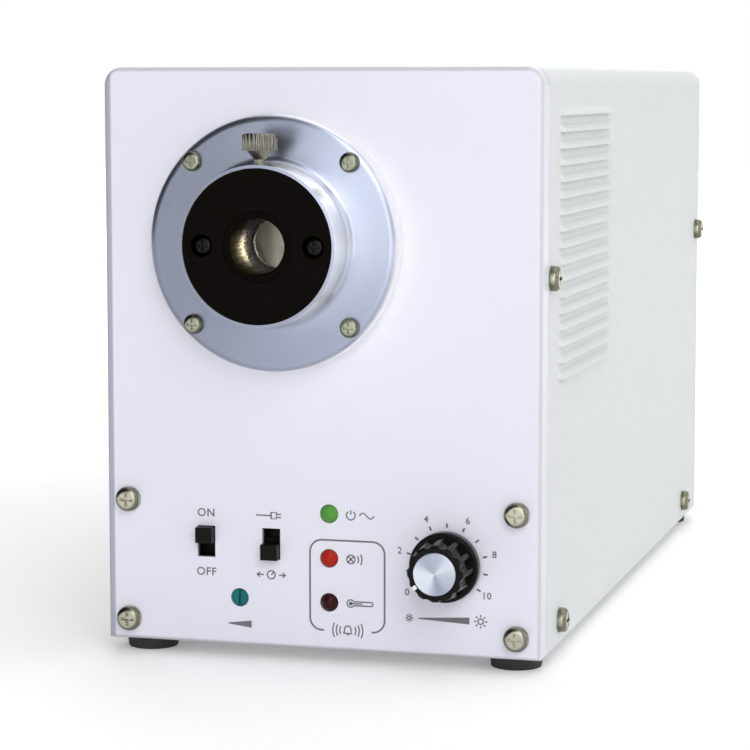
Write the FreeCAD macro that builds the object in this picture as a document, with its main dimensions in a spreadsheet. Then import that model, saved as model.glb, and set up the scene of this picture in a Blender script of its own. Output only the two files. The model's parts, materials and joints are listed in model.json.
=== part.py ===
import FreeCAD, Part
import os
import re

import Sketcher

# A bench light source for fibre optic light guides: a folded steel case on rubber feet, with a
# lamp outlet and its controls at the front, and a fan, mains inlet and remote socket at the back.
#
# Everything is placed in the case's own frame: x from the middle, y back from the front panel's
# face, z up from the case's underside. place() then stands the case on its feet and centres it.

SIZES = {
    # case
    "case_width": 124,
    "case_height": 160,
    "case_depth": 280,
    "corner_radius": 5,
    "cover_sheet": 1.2,
    "panel_sheet": 1.2,
    "chassis_sheet": 1.2,
    "panel_lip": 8.5,
    "panel_edge": 1.5,
    "lip_gap": 0.3,
    "flange_reach": 21.5,
    "flange_low": 24,
    "flange_drop": 12,
    "rear_flange_low": 60,
    "rail_height": 18,
    "rail_start": 21,
    # cover louvres
    "louvre_count": 17,
    "louvre_pitch": 4.53,
    "louvre_start": 22,
    "louvre_length": 77,
    "louvre_drop": 10,
    "louvre_height": 3.2,
    "louvre_rise": 1.5,
    "louvre_skin": 0.6,
    "louvre_taper": 3,
    "louvre_brim": 0.4,
    # fasteners: M4 (large) and M3 (small) pan heads with a cross recess
    "large_thread": 2,
    "large_head": 3.5,
    "large_rise": 2.6,
    "large_round": 1.5,
    "large_recess": 1.9,
    "large_recess_width": 0.9,
    "large_recess_depth": 1.2,
    "large_length": 8,
    "small_thread": 1.5,
    "small_head": 2.75,
    "small_rise": 2,
    "small_round": 1.2,
    "small_recess": 1.5,
    "small_recess_width": 0.7,
    "small_recess_depth": 0.9,
    "small_length": 6,
    "flange_screw_length": 14,
    "insert_screw_length": 13,
    "fan_screw_length": 12,
    "thread_gap": 0.05,
    "thread_spare": 0.6,
    "hole_gap": 0.2,
    "head_gap": 0.3,
    "nut_wall": 1.55,
    "nut_height": 3,
    # how far a cutting tool runs past the material
    "overrun": 1,
    # screw places
    "panel_screw_inset": 6.4,
    "panel_screw_low": 6,
    "panel_screw_high": 39.9,
    "cover_screw_level": 103,
    "cover_screw_front": 12.3,
    "cover_screw_back": 6.5,
    "rail_screw_level": 6.5,
    "rail_screw_front": 26.5,
    "rail_screw_back": 30,
    "rear_screw_spread": 40,
    "rear_screw_inset": 10,
    # feet
    "foot_rise": 4,
    "foot_radius": 7.5,
    "foot_toe": 7,
    "foot_inset": 9,
    "foot_setback": 12,
    "foot_socket_depth": 2.4,
    # light outlet
    "outlet_offset": 11.3,
    "outlet_drop": 47.7,
    "outlet_reach": 20.4,
    "flange_radius": 35.1,
    "flange_thickness": 7,
    "flange_edge": 2,
    "boss_radius": 21.75,
    "boss_wall": 0.85,
    "spigot_wall": 3.05,
    "spigot_length": 6,
    "web_front": 8.4,
    "web_rear": 1.4,
    "flange_screw_spread": 22.2,
    "insert_recess": 0.3,
    "insert_screw_spread": 15.6,
    "insert_screw_sink": 3.2,
    "sleeve_wall": 2,
    "sleeve_recess": 0.5,
    "sleeve_edge": 0.4,
    "guide_radius": 7.5,
    "fit_gap": 0.05,
    # clamp screw of the outlet
    "clamp_setback": 3.5,
    "clamp_clearance": 0.3,
    "clamp_tip_length": 1.8,
    "clamp_tip_radius": 1.45,
    "clamp_neck_start": 23.1,
    "clamp_head_start": 25.5,
    "clamp_head_end": 30,
    "clamp_head_radius": 4.7,
    "clamp_neck_radius": 3.5,
    "clamp_edge": 0.4,
    "clamp_slot_width": 1,
    "clamp_slot_depth": 1.4,
    "knurl_count": 24,
    "knurl_radius": 0.45,
    "knurl_depth": 0.3,
    # lens tube and lamp
    "barrel_wall": 1.95,
    "barrel_length": 36,
    "barrel_foot_reach": 8,
    "barrel_foot_height": 2.5,
    "barrel_screw_reach": 4.4,
    "barrel_screw_count": 3,
    "stop_step": 0.7,
    "stop_thickness": 1.4,
    "lens_setback": 7.4,
    "lens_radius": 13.9,
    "lens_edge": 2.5,
    "lens_lip": 1.5,
    "lens_curve": 20,
    "lens_ring_height": 2,
    "lens_ring_width": 1.9,
    "lamp_board_height": 1.6,
    "emitter_radius": 5,
    "emitter_height": 1.2,
    # heat sink
    "sink_width": 84,
    "sink_height": 70,
    "sink_base": 6,
    "sink_depth": 56,
    "fin_count": 12,
    "fin_thickness": 1.6,
    "stand_sheet": 2,
    "stand_inset": 1,
    "stand_foot": 11,
    "stand_screw_inset": 10,
    "shelf_screw_spread": 28,
    "sensor_width": 10,
    "sensor_height": 14,
    "sensor_thickness": 3.5,
    "sensor_gap": 2.1,
    # fan
    "fan_headroom": 12,
    "fan_width": 80,
    "fan_thickness": 25,
    "fan_wall": 1.5,
    "fan_hole_inset": 4.25,
    "fan_strut": 5,
    "fan_strut_thickness": 3,
    "motor_step": 0.5,
    "rotor_hub": 17.5,
    "rotor_edge": 1,
    "rotor_length": 19,
    "rotor_gap": 0.8,
    "rotor_shaft": 1.5,
    "rotor_shaft_length": 3.2,
    "tip_gap": 1,
    "blade_count": 7,
    "blade_thickness": 1.6,
    "blade_chord": 22,
    "blade_root": 2,
    "blade_margin": 0.3,
    "blade_pitch": 38,
    "guard_wire": 0.9,
    "guard_weld": 0.4,
    "guard_rings": 4,
    "guard_first": 9,
    "guard_inset": 2.5,
    "guard_eye": 3.2,
    # power supply
    "supply_width": 90,
    "supply_gap": 13.4,
    "supply_margin": 38,
    "supply_sheet": 1.6,
    "supply_rise": 8,
    "supply_inset": 6,
    "standoff_radius": 2.75,
    "transformer_width": 36,
    "transformer_length": 32,
    "transformer_height": 28,
    "winding_width": 26,
    "winding_length": 42,
    "winding_height": 20,
    "winding_rise": 2,
    "transformer_shift": 22,
    "transformer_setback": 82,
    "capacitor_radius": 11,
    "capacitor_height": 30,
    "capacitor_pitch": 24,
    "capacitor_shift": 22,
    "capacitor_setback": 40,
    "capacitor_count": 3,
    "capacitor_edge": 1,
    # control board
    "board_standoff": 11.6,
    "board_sheet": 1.6,
    "board_left": 44,
    "board_right": 49,
    "board_low": 3.5,
    "board_high": 47,
    "board_screw_inset": 3.6,
    # slide switches
    "switch_level": 28.8,
    "power_slide_offset": 32.8,
    "mode_slide_offset": 13.9,
    "slot_width": 5.2,
    "slot_height": 8.8,
    "lever_gap": 0.2,
    "lever_height": 4.4,
    "lever_reach": 3,
    "lever_edge": 0.4,
    "lever_foot_step": 0.9,
    "lever_foot_depth": 1.6,
    "slide_lip": 1,
    "slide_wall": 0.8,
    "slide_body_height": 17,
    "slide_body_depth": 8,
    "slide_pin_width": 1,
    "slide_pin_pitch": 4,
    # trimmer
    "trimmer_offset": 23.1,
    "trimmer_level": 13.4,
    "trimmer_hole": 2.6,
    "trimmer_width": 9.5,
    "trimmer_start": 4.2,
    "trimmer_gap": 0.25,
    "trimmer_screw_start": 0.4,
    "trimmer_screw_depth": 1.6,
    "trimmer_slot_width": 0.7,
    "trimmer_slot_depth": 0.8,
    # lamps
    "lamp_offset": 2.8,
    "power_lamp_level": 38,
    "led_lamp_level": 25.6,
    "heat_lamp_level": 13.3,
    "lamp_radius": 2.5,
    "lamp_reach": 1.6,
    "lamp_hole_gap": 0.1,
    "lamp_length": 8.7,
    "lamp_rim_step": 0.4,
    "lamp_rim_height": 1,
    "lamp_lead": 0.3,
    "lamp_lead_spread": 1.27,
    "spacer_bore": 1.7,
    # light control
    "knob_offset": 36.1,
    "knob_level": 25.2,
    "knob_gap": 1,
    "knob_length": 13,
    "knob_skirt": 9.6,
    "knob_skirt_height": 3.6,
    "knob_waist": 8.6,
    "knob_top": 7.7,
    "knob_edge": 0.6,
    "knob_roof": 1.1,
    "knob_flutes": 12,
    "flute_radius": 1.6,
    "flute_depth": 0.55,
    "flute_lift": 0.2,
    "hollow_gap": 0.8,
    "hollow_end_gap": 1,
    "cap_radius": 5.85,
    "cap_thickness": 0.8,
    "cap_sink": 0.4,
    "cap_edge": 0.2,
    "pointer_width": 1.2,
    "pointer_depth": 0.6,
    "pointer_rise": 0.1,
    "pointer_angle": 144.5,
    "grub_length": 4,
    "grub_setback": 1.7,
    "pot_radius": 8.5,
    "bushing_wall": 0.45,
    "bushing_reach": 4.6,
    "pot_nut_wall": 1.5,
    "pot_nut_height": 2.3,
    "pot_shaft": 3,
    "pot_shaft_foot": 4,
    # rear fittings
    "rear_level": 36,
    "inlet_offset": 30,
    "inlet_flange_width": 50,
    "inlet_flange_height": 22.5,
    "inlet_flange_thickness": 3,
    "inlet_width": 27.2,
    "inlet_height": 19.6,
    "inlet_depth": 22,
    "inlet_wall": 1.5,
    "inlet_cavity_depth": 17,
    "inlet_corner": 4.5,
    "inlet_screw_spread": 20,
    "pin_width": 2,
    "pin_height": 4,
    "pin_spread": 7,
    "pin_rise": 2,
    "pin_sink": 1,
    "pin_tail": 6,
    "rocker_offset": 8,
    "bezel_lip": 1,
    "bezel_thickness": 2,
    "rocker_body_height": 19.2,
    "rocker_body_depth": 14,
    "rocker_width": 10.6,
    "rocker_gap": 0.25,
    "rocker_wall": 0.95,
    "rocker_end_wall": 0.7,
    "rocker_cavity_depth": 9,
    "rocker_pivot_sink": 1,
    "rocker_pin": 1.5,
    "rocker_pin_length": 0.8,
    "rocker_tilt": 10,
    "rocker_crest": 4,
    "rocker_crest_reach": 7.5,
    "rocker_dip": 2.4,
    "rocker_shoulder": 2,
    "rocker_shoulder_reach": 8,
    "rocker_root": 3,
    "rocker_root_reach": 6,
    "connector_offset": 36.5,
    "connector_width": 39.2,
    "connector_height": 12.5,
    "connector_sheet": 1,
    "connector_rise": 6,
    "connector_shell_top": 12.6,
    "connector_shell_bottom": 11,
    "connector_shell_half": 4.2,
    "connector_shell_wall": 0.6,
    "connector_depth": 9,
    "connector_core_sink": 0.3,
    "connector_contacts": 8,
    "contact_pitch": 2.74,
    "contact_row": 1.42,
    "contact_radius": 0.6,
    "contact_depth": 4,
    "jack_spread": 16.65,
    "jack_flat": 2.5,
    "jack_length": 5,
    "jack_bore": 1.25,
    "jack_sink": 1,
}

PLACES = {
    "front_reach": "outlet_reach + max(0, clamp_head_radius - clamp_setback)",
    "rear_reach": "max(connector_rise, connector_sheet + jack_length)",
    "face_y": "front_reach - (front_reach + case_depth + rear_reach) / 2",
    "half_width": "case_width / 2",
    "inner_half": "case_width / 2 - max(cover_sheet, panel_sheet)",
    "inner_top": "case_height - max(cover_sheet, panel_sheet)",
    "inner_radius": "corner_radius - max(cover_sheet, panel_sheet)",
    "cover_start": "panel_lip + lip_gap",
    "wall_back": "panel_sheet + chassis_sheet",
    "rear_front": "case_depth - chassis_sheet",
    "nut_radius": "large_thread + thread_gap + nut_wall",
    "panel_screw_x": "case_width / 2 - panel_screw_inset",
    "foot_socket": "small_head + head_gap",
    "louvre_top": "case_height - louvre_drop",
    "outlet_x": "-outlet_offset",
    "outlet_level": "case_height - outlet_drop",
    "sleeve_radius": "guide_radius + sleeve_wall",
    "boss_bore": "boss_radius - boss_wall",
    "insert_radius": "boss_radius - boss_wall - fit_gap",
    "insert_front": "insert_recess - outlet_reach",
    "insert_seat": "insert_recess - outlet_reach + insert_screw_sink",
    "sleeve_front": "sleeve_recess - outlet_reach",
    "clamp_y": "clamp_setback - outlet_reach",
    "clamp_tip_start": "guide_radius + clamp_clearance",
    "clamp_tip_end": "guide_radius + clamp_clearance + clamp_tip_length",
    "clamp_hole": "small_thread + fit_gap",
    "stop_radius": "guide_radius - stop_step",
    "barrel_bore": "lens_radius + fit_gap",
    "barrel_radius": "lens_radius + fit_gap + barrel_wall",
    "barrel_seat": "lens_radius + 2 * fit_gap + barrel_wall",
    "spigot_radius": "lens_radius + 2 * fit_gap + barrel_wall + spigot_wall",
    "barrel_foot_radius": "lens_radius + fit_gap + barrel_wall + barrel_foot_reach",
    "barrel_screw_radius": "lens_radius + fit_gap + barrel_wall + barrel_screw_reach",
    "throat_radius": "lens_radius - lens_lip",
    "lens_ring_bore": "lens_radius - lens_ring_width",
    "lens_seat": "lens_setback - web_rear",
    "lens_back": "lens_setback - web_rear + lens_edge",
    "sink_front": "barrel_length - web_rear",
    "sink_back": "barrel_length - web_rear + sink_depth",
    "sink_bottom": "case_height - outlet_drop - sink_height / 2",
    "sink_left": "-outlet_offset - sink_width / 2",
    "stand_left": "-outlet_offset - sink_width / 2 + stand_inset",
    "stand_right": "sink_width / 2 - outlet_offset - stand_inset",
    "fin_gap": "(sink_height - fin_count * fin_thickness) / (fin_count - 1)",
    "fan_level": "case_height - fan_headroom - fan_width / 2",
    "fan_bore": "fan_width / 2 - fan_wall",
    "fan_screw_spread": "fan_width / 2 - fan_hole_inset",
    "fan_front": "case_depth - chassis_sheet - fan_thickness",
    "rotor_tip": "fan_width / 2 - fan_wall - tip_gap",
    "rotor_start": "case_depth - chassis_sheet - rotor_gap - rotor_length",
    "motor_radius": "rotor_hub - motor_step",
    "guard_last": "fan_width / 2 - fan_wall - guard_inset",
    "supply_low": "chassis_sheet + supply_rise",
    "supply_top": "chassis_sheet + supply_rise + supply_sheet",
    "supply_start": "barrel_length - web_rear + sink_depth + supply_gap",
    "supply_end": "case_depth - supply_margin",
    "board_front": "panel_sheet + chassis_sheet + board_standoff",
    "board_back": "panel_sheet + chassis_sheet + board_standoff + board_sheet",
    "power_slide_x": "-power_slide_offset",
    "mode_slide_x": "-mode_slide_offset",
    "lever_travel": "slot_height - lever_height - 2 * lever_gap",
    "slide_chamber_front": "panel_sheet + chassis_sheet + slide_lip",
    "trimmer_x": "-trimmer_offset",
    "trimmer_screw_radius": "trimmer_hole - trimmer_gap",
    "lamp_rim": "lamp_radius + lamp_rim_step",
    "lamp_back": "lamp_length - lamp_reach",
    "bushing_radius": "pot_shaft + fit_gap + bushing_wall",
    "pot_nut_flat": "pot_shaft + fit_gap + bushing_wall + pot_nut_wall",
    "pot_shaft_end": "knob_gap + knob_length - cap_sink - knob_roof",
    "knob_front": "-knob_gap - knob_length",
    "knob_hollow": "pot_nut_flat / cos(30) + hollow_gap",
    "hollow_end": "-bushing_reach - hollow_end_gap",
    "grub_y": "-bushing_reach - hollow_end_gap - grub_setback",
    "inlet_x": "-inlet_offset",
    "inlet_face": "case_depth + inlet_flange_thickness",
    "rocker_y": "case_depth - rocker_pivot_sink",
    "rocker_cavity_width": "rocker_width + 2 * rocker_gap",
    "rocker_body_width": "rocker_width + 2 * rocker_gap + 2 * rocker_wall",
}

document = FreeCAD.newDocument("fiber_optic_illuminator")
sizes_sheet = document.addObject("Spreadsheet::Sheet", "Sizes")
places_sheet = document.addObject("Spreadsheet::Sheet", "Places")


def formula(text, inside=None):
    """Return a formula in which each named value is written as its cell in a sheet."""

    def cell(match):
        word = match.group()
        if word in SIZES:
            return "Sizes." + word
        if word in PLACES:
            return word if inside == "Places" else "Places." + word
        return word

    return re.sub(r"[a-z][a-z_]*", cell, str(text))


def fill_sheets():
    for row, (name, size) in enumerate(SIZES.items(), 1):
        sizes_sheet.set(f"A{row}", name)
        sizes_sheet.set(f"B{row}", str(size))
        sizes_sheet.setAlias(f"B{row}", name)
    for row, (name, text) in enumerate(PLACES.items(), 1):
        places_sheet.set(f"A{row}", name)
        places_sheet.setAlias(f"B{row}", name)
    for row, (name, text) in enumerate(PLACES.items(), 1):
        places_sheet.set(f"B{row}", "=" + formula(text, inside="Places"))
    document.recompute()


fill_sheets()


# ---------------------------------------------------------------- tools of the model

AXIS_X = FreeCAD.Vector(1, 0, 0)
AXIS_Y = FreeCAD.Vector(0, 1, 0)
AXIS_Z = FreeCAD.Vector(0, 0, 1)

ORIGIN = ("0", "0", "0")

# Turns that carry a piece made along +Z to each direction.
FACING = {
    "+z": FreeCAD.Rotation(),
    "-z": FreeCAD.Rotation(AXIS_X, 180),
    "+y": FreeCAD.Rotation(AXIS_X, -90),
    "-y": FreeCAD.Rotation(AXIS_X, 90),
    "+x": FreeCAD.Rotation(AXIS_Y, 90),
    "-x": FreeCAD.Rotation(AXIS_Y, -90),
}


def value(text):
    return float(places_sheet.evalExpression(formula(text)))


def bind(item, **formulas):
    for name, text in formulas.items():
        item.setExpression(name, formula(text))
    return item


def move(item, spot, turn=FreeCAD.Rotation()):
    """Place an item at a spot, without the shift that stands the case on its feet."""
    item.Placement = FreeCAD.Placement(FreeCAD.Vector(), turn)
    for axis, text in zip("xyz", spot):
        item.setExpression(f"Placement.Base.{axis}", formula(text))
    return item


def place(item, spot, turn=FreeCAD.Rotation()):
    """Place an item at a spot of the case's frame."""
    x, y, z = spot
    return move(item, (x, f"face_y + ({y})", f"foot_rise + ({z})"), turn)


def box(name, low, high, put=place):
    """A block between two corners."""
    item = document.addObject("Part::Box", name)
    for side, start, end in zip(("Length", "Width", "Height"), low, high):
        item.setExpression(side, formula(f"({end}) - ({start})"))
    return put(item, low)


def rod(name, radius, length, spot, facing="+z", put=place):
    """A cylinder that starts at a spot and points one way."""
    item = document.addObject("Part::Cylinder", name)
    bind(item, Radius=radius, Height=length)
    return put(item, spot, FACING[facing])


def both_sides(text):
    return (text, f"-({text})")


def span(edge, inward, width):
    """The low and high end of a strip that reaches from an edge to its + or - side."""
    other = f"{edge} {inward} {width}"
    return (edge, other) if inward == "+" else (other, edge)


def join(name, items, refine=True):
    item = document.addObject("Part::MultiFuse", name)
    item.Shapes = items
    item.Refine = refine
    return item


def cut(name, base, tools):
    """Take the tools away from the base."""
    item = document.addObject("Part::Cut", name)
    item.Base = base
    item.Tool = tools[0] if len(tools) == 1 else group(name + "_tools", tools)
    item.Refine = True
    return item


def common(name, base, tool):
    item = document.addObject("Part::Common", name)
    item.Base = base
    item.Tool = tool
    return item


def group(name, items):
    """Separate solids that count as one piece of the list."""
    item = document.addObject("Part::Compound", name)
    item.Links = items
    return item


def mirrored(name, item):
    """The same piece on the other side of the case's middle."""
    mirror = document.addObject("Part::Mirroring", name)
    mirror.Source = item
    mirror.Normal = AXIS_X
    return mirror


def copy(item, spot, facing="+z", spin=0, put=place):
    """A linked copy, pointed one way after a spin about its own axis."""
    link = document.addObject("App::Link", item.Name + "_copy")
    link.LinkedObject = item
    return put(link, spot, FACING[facing].multiply(FreeCAD.Rotation(AXIS_Z, spin)))


def copies(item, spots, facing="+z"):
    return [copy(item, spot, facing) for spot in spots]


def ring_of(item, count, spot, facing="+z", put=place):
    """Copies in even steps about an axis through the spot."""
    return [copy(item, spot, facing, 360 * step / count, put) for step in range(count)]


PLANES = {"XY": "XY_Plane", "XZ": "XZ_Plane", "YZ": "YZ_Plane"}


def outline(body, name, plane, corners):
    """Sketch a closed outline on one of the body's own planes, each corner tied to its formulas."""
    sketch = body.newObject("Sketcher::SketchObject", name + "_sketch")
    support = [flat for flat in body.Origin.OriginFeatures if flat.Role == PLANES[plane]]
    sketch.AttachmentSupport = [(support[0], "")]
    sketch.MapMode = "FlatFace"
    points = [FreeCAD.Vector(value(u), value(v), 0) for u, v in corners]
    for start, end in zip(points, points[1:] + points[:1]):
        sketch.addGeometry(Part.LineSegment(start, end), False)
    for index in range(len(points)):
        following = (index + 1) % len(points)
        sketch.addConstraint(Sketcher.Constraint("Coincident", index, 2, following, 1))
    for index, corner in enumerate(corners):
        for kind, axis, text in zip(("DistanceX", "DistanceY"), (-2, -1), corner):
            if text == "0":
                rule = Sketcher.Constraint("PointOnObject", index, 1, axis)
                sketch.addConstraint(rule)
                continue
            rule = Sketcher.Constraint(kind, -1, 1, index, 1, value(text))
            number = sketch.addConstraint(rule)
            sketch.setExpression(f"Constraints[{number}]", formula(text))
    return sketch


def turned(name, corners, spot, facing="+z", put=place):
    """A lathe-turned body: its half section as (radius, distance along the axis) corners."""
    body = document.addObject("PartDesign::Body", name)
    sketch = outline(body, name, "XZ", corners)
    turn = body.newObject("PartDesign::Revolution", name + "_turn")
    turn.Profile = sketch
    turn.ReferenceAxis = (sketch, ["V_Axis"])
    turn.Angle = 360
    return put(body, spot, FACING[facing])


def prism(name, plane, corners, length, spot, put=place):
    """A body of one section: XY sections rise along +Z, XZ ones run along +Y, YZ ones along +X."""
    body = document.addObject("PartDesign::Body", name)
    pad = body.newObject("PartDesign::Pad", name + "_pad")
    pad.Profile = outline(body, name, plane, corners)
    pad.Reversed = plane == "XZ"
    bind(pad, Length=length)
    return put(body, spot)


def dress(body, kind, size, wanted):
    """Fillet or chamfer the edges of a body that the wanted() test picks."""
    document.recompute()
    base = body.Tip
    picked = [
        f"Edge{index}"
        for index, edge in enumerate(base.Shape.Edges, 1)
        if wanted(edge)
    ]
    feature = body.newObject("PartDesign::" + kind, f"{body.Name}_{kind.lower()}")
    feature.Base = (base, picked)
    bind(feature, **{"Radius" if kind == "Fillet" else "Size": size})
    return body


def runs_at(plane, u, v):
    """Test for the straight edges of a prism that stand on one corner of its section."""
    near = 0.001

    def wanted(edge):
        if len(edge.Vertexes) != 2:
            return False
        for vertex in edge.Vertexes:
            spot = {"X": vertex.X, "Y": vertex.Y, "Z": vertex.Z}
            if abs(spot[plane[0]] - value(u)) > near or abs(spot[plane[1]] - value(v)) > near:
                return False
        return True

    return wanted


def lies_at(axis, text):
    """Test for the edges that lie wholly at one distance along an axis of the body."""
    near = 0.001

    def wanted(edge):
        bounds = edge.BoundBox
        low, high = getattr(bounds, axis + "Min"), getattr(bounds, axis + "Max")
        return abs(low - value(text)) < near and abs(high - value(text)) < near

    return wanted


def any_of(*tests):
    return lambda edge: any(test(edge) for test in tests)


def arched_block(name, half, low, top, radius, start, end):
    """A block as wide as 2 half, with its two upper corners rounded, from y start to y end."""
    corners = [(f"-({half})", low), (half, low), (half, top), (f"-({half})", top)]
    body = prism(name, "XZ", corners, f"({end}) - ({start})", ("0", start, "0"))
    left, right = runs_at("XZ", f"-({half})", top), runs_at("XZ", half, top)
    return dress(body, "Fillet", radius, any_of(left, right))


def pan_screw(name, kind, length):
    """A cross-recessed pan-head screw at the origin, driven along +Z, with its head below."""
    corners = [
        ("0", f"-{kind}_rise"),
        (f"{kind}_head", f"-{kind}_rise"),
        (f"{kind}_head", "0"),
        (f"{kind}_thread", "0"),
        (f"{kind}_thread", length),
        ("0", length),
    ]
    blank = turned(name + "_blank", corners, ORIGIN, put=move)
    dress(blank, "Fillet", f"{kind}_round", lies_at("Z", f"-{kind}_rise"))
    long, wide = f"{kind}_recess", f"{kind}_recess_width / 2"
    arms = [
        box(
            name + "_recess",
            (f"-{half_x}", f"-{half_y}", f"-{kind}_rise - overrun"),
            (half_x, half_y, f"{kind}_recess_depth - {kind}_rise"),
            put=move,
        )
        for half_x, half_y in ((long, wide), (wide, long))
    ]
    return cut(name, blank, arms)


def corners_of(x, z, half_x, half_z):
    """The four (x, z) corners of a rectangle."""
    return [(f"{x} {a} {half_x}", f"{z} {b} {half_z}") for a in "-+" for b in "-+"]


NODES = []


def keep(item, label):
    """Make an object one of the pieces that are written out."""
    item.Label = label
    NODES.append(item)
    return item


# ---------------------------------------------------------------- fasteners and their places

CASE_SCREW = pan_screw("case_screw", "large", "large_length")
SMALL_SCREW = pan_screw("small_screw", "small", "small_length")
LARGE_THREAD = "large_thread + thread_gap"
SMALL_THREAD = "small_thread + thread_gap"
LARGE_HOLE = "large_thread + hole_gap"
SMALL_HOLE = "small_thread + hole_gap"
SHEET_CUT = "chassis_sheet + 2 * overrun"

PANEL_SCREWS = [
    (x, z) for x in both_sides("panel_screw_x") for z in ("panel_screw_low", "panel_screw_high")
]
COVER_SCREWS = [
    ("cover_screw_front", "cover_screw_level"),
    ("case_depth - cover_screw_back", "cover_screw_level"),
    ("rail_screw_front", "rail_screw_level"),
    ("case_depth - rail_screw_back", "rail_screw_level"),
]
FEET = [
    (x, y)
    for x in both_sides("half_width - foot_inset")
    for y in ("foot_setback", "case_depth - foot_setback")
]
REAR_SCREWS = [(x, "case_depth - rear_screw_inset") for x in both_sides("rear_screw_spread")]
STAND_SCREWS = [
    (x, y)
    for x in ("stand_left + stand_foot / 2", "stand_right - stand_foot / 2")
    for y in ("sink_front + stand_screw_inset", "sink_back - stand_screw_inset")
]
SHELF_SCREWS = [
    (f"outlet_x {side} shelf_screw_spread", "sink_front + sink_base / 2") for side in "-+"
]
FLANGE_SCREWS = corners_of("outlet_x", "outlet_level", "flange_screw_spread", "flange_screw_spread")
INSERT_SCREWS = [(f"outlet_x {side} insert_screw_spread", "outlet_level") for side in "-+"]
FAN_SCREWS = corners_of("0", "fan_level", "fan_screw_spread", "fan_screw_spread")
INLET_SCREWS = [(f"inlet_x {side} inlet_screw_spread", "rear_level") for side in "-+"]
JACK_SCREWS = [(f"connector_offset {side} jack_spread", "rear_level") for side in "-+"]
SUPPLY_POSTS = [
    (x, y)
    for x in both_sides("supply_width / 2 - supply_inset")
    for y in ("supply_start + supply_inset", "supply_end - supply_inset")
]
BOARD_POSTS = [
    (x, z)
    for x in ("board_screw_inset - board_left", "board_right - board_screw_inset")
    for z in ("board_low + board_screw_inset", "board_high - board_screw_inset")
]
LAMPS = {
    "power_lamp": "power_lamp_level",
    "led_alarm_lamp": "led_lamp_level",
    "temp_alarm_lamp": "heat_lamp_level",
}
SLIDES = {"led_switch": "power_slide_x", "mode_switch": "mode_slide_x"}


def at_depth(y, places):
    """Give the (x, z) places of a panel their depth."""
    return [(x, y, z) for x, z in places]


def at_level(z, places):
    """Give the (x, y) places of a floor their height."""
    return [(x, y, z) for x, y in places]


def barrel_ring(name, item, y):
    """Copies of an item round the foot of the lens tube, where its screws are."""
    offset = move(item, ("barrel_screw_radius", "0", "0"))
    spot = ("outlet_x", y, "outlet_level")
    return ring_of(group(name, [offset]), int(SIZES["barrel_screw_count"]), spot, "+y")


def make_fasteners():
    sides, nuts = [], []
    nut = turned(
        "clinch_nut",
        [
            (LARGE_THREAD, "0"),
            ("nut_radius", "0"),
            ("nut_radius", "nut_height"),
            (LARGE_THREAD, "nut_height"),
        ],
        ORIGIN,
        put=move,
    )
    nuts += copies(nut, at_depth("wall_back", PANEL_SCREWS), "+y")
    for y, z in COVER_SCREWS:
        sides.append(copy(CASE_SCREW, ("half_width", y, z), "-x"))
        sides.append(copy(CASE_SCREW, ("-half_width", y, z), "+x"))
        nuts.append(copy(nut, ("inner_half - chassis_sheet", y, z), "-x"))
        nuts.append(copy(nut, ("chassis_sheet - inner_half", y, z), "+x"))
    front = copies(CASE_SCREW, at_depth("0", PANEL_SCREWS), "+y")
    keep(group("case_screws", front + sides), "case_screws")
    keep(group("clinch_nuts", nuts), "clinch_nuts")

    small = copies(SMALL_SCREW, at_level("foot_socket_depth - foot_rise", FEET))
    small += copies(SMALL_SCREW, at_level("0", REAR_SCREWS + STAND_SCREWS))
    small += copies(SMALL_SCREW, at_level("sink_bottom - stand_sheet", SHELF_SCREWS))
    small += copies(SMALL_SCREW, at_level("supply_top", SUPPLY_POSTS), "-z")
    small += copies(SMALL_SCREW, at_depth("board_back", BOARD_POSTS), "-y")
    small += copies(SMALL_SCREW, at_depth("inlet_face", INLET_SCREWS), "-y")
    offset = copy(SMALL_SCREW, ORIGIN, put=move)
    small += barrel_ring("barrel_screw", offset, "sink_front - barrel_foot_height")
    keep(group("small_screws", small), "small_screws")


# ---------------------------------------------------------------- case


def front_openings(name, y, depth):
    """Tools for the holes that the panel and the wall behind it share."""
    tools = []
    for x in SLIDES.values():
        low = (f"{x} - slot_width / 2", y, "switch_level - slot_height / 2")
        high = (f"{x} + slot_width / 2", f"{y} + {depth}", "switch_level + slot_height / 2")
        tools.append(box(name + "_slot", low, high))
    for x, z, radius in [
        ("trimmer_x", "trimmer_level", "trimmer_hole"),
        ("knob_offset", "knob_level", "bushing_radius + fit_gap"),
        ("outlet_x", "outlet_level", "spigot_radius + hole_gap"),
    ] + [("lamp_offset", z, "lamp_radius + lamp_hole_gap") for z in LAMPS.values()]:
        tools.append(rod(name + "_round_hole", radius, depth, (x, y, z), "+y"))
    return tools


def holes_at(name, radius, length, spots, facing="+y"):
    return [rod(name, radius, length, spot, facing) for spot in spots]


def side_holes(name, radius):
    """Holes for the cover's screws, straight across the case."""
    length = "case_width + 2 * overrun"
    spots = [("-half_width - overrun", y, z) for y, z in COVER_SCREWS]
    return holes_at(name, radius, length, spots, "+x")


def make_front_panel():
    outer = arched_block(
        "panel_block", "half_width", "0", "case_height", "corner_radius", "0", "panel_lip"
    )
    dress(outer, "Fillet", "panel_edge", lies_at("Y", "0"))
    hollow = arched_block(
        "panel_hollow",
        "half_width - panel_sheet",
        "-overrun",
        "case_height - panel_sheet",
        "corner_radius - panel_sheet",
        "panel_sheet",
        "panel_lip + overrun",
    )
    through = "panel_sheet + 2 * overrun"
    tools = [hollow] + front_openings("panel", "-overrun", through)
    tools += holes_at("panel_hole", LARGE_HOLE, through, at_depth("-overrun", PANEL_SCREWS))
    tools += holes_at("panel_hole", SMALL_HOLE, through, at_depth("-overrun", FLANGE_SCREWS))
    keep(cut("front_panel", outer, tools), "front_panel")


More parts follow.
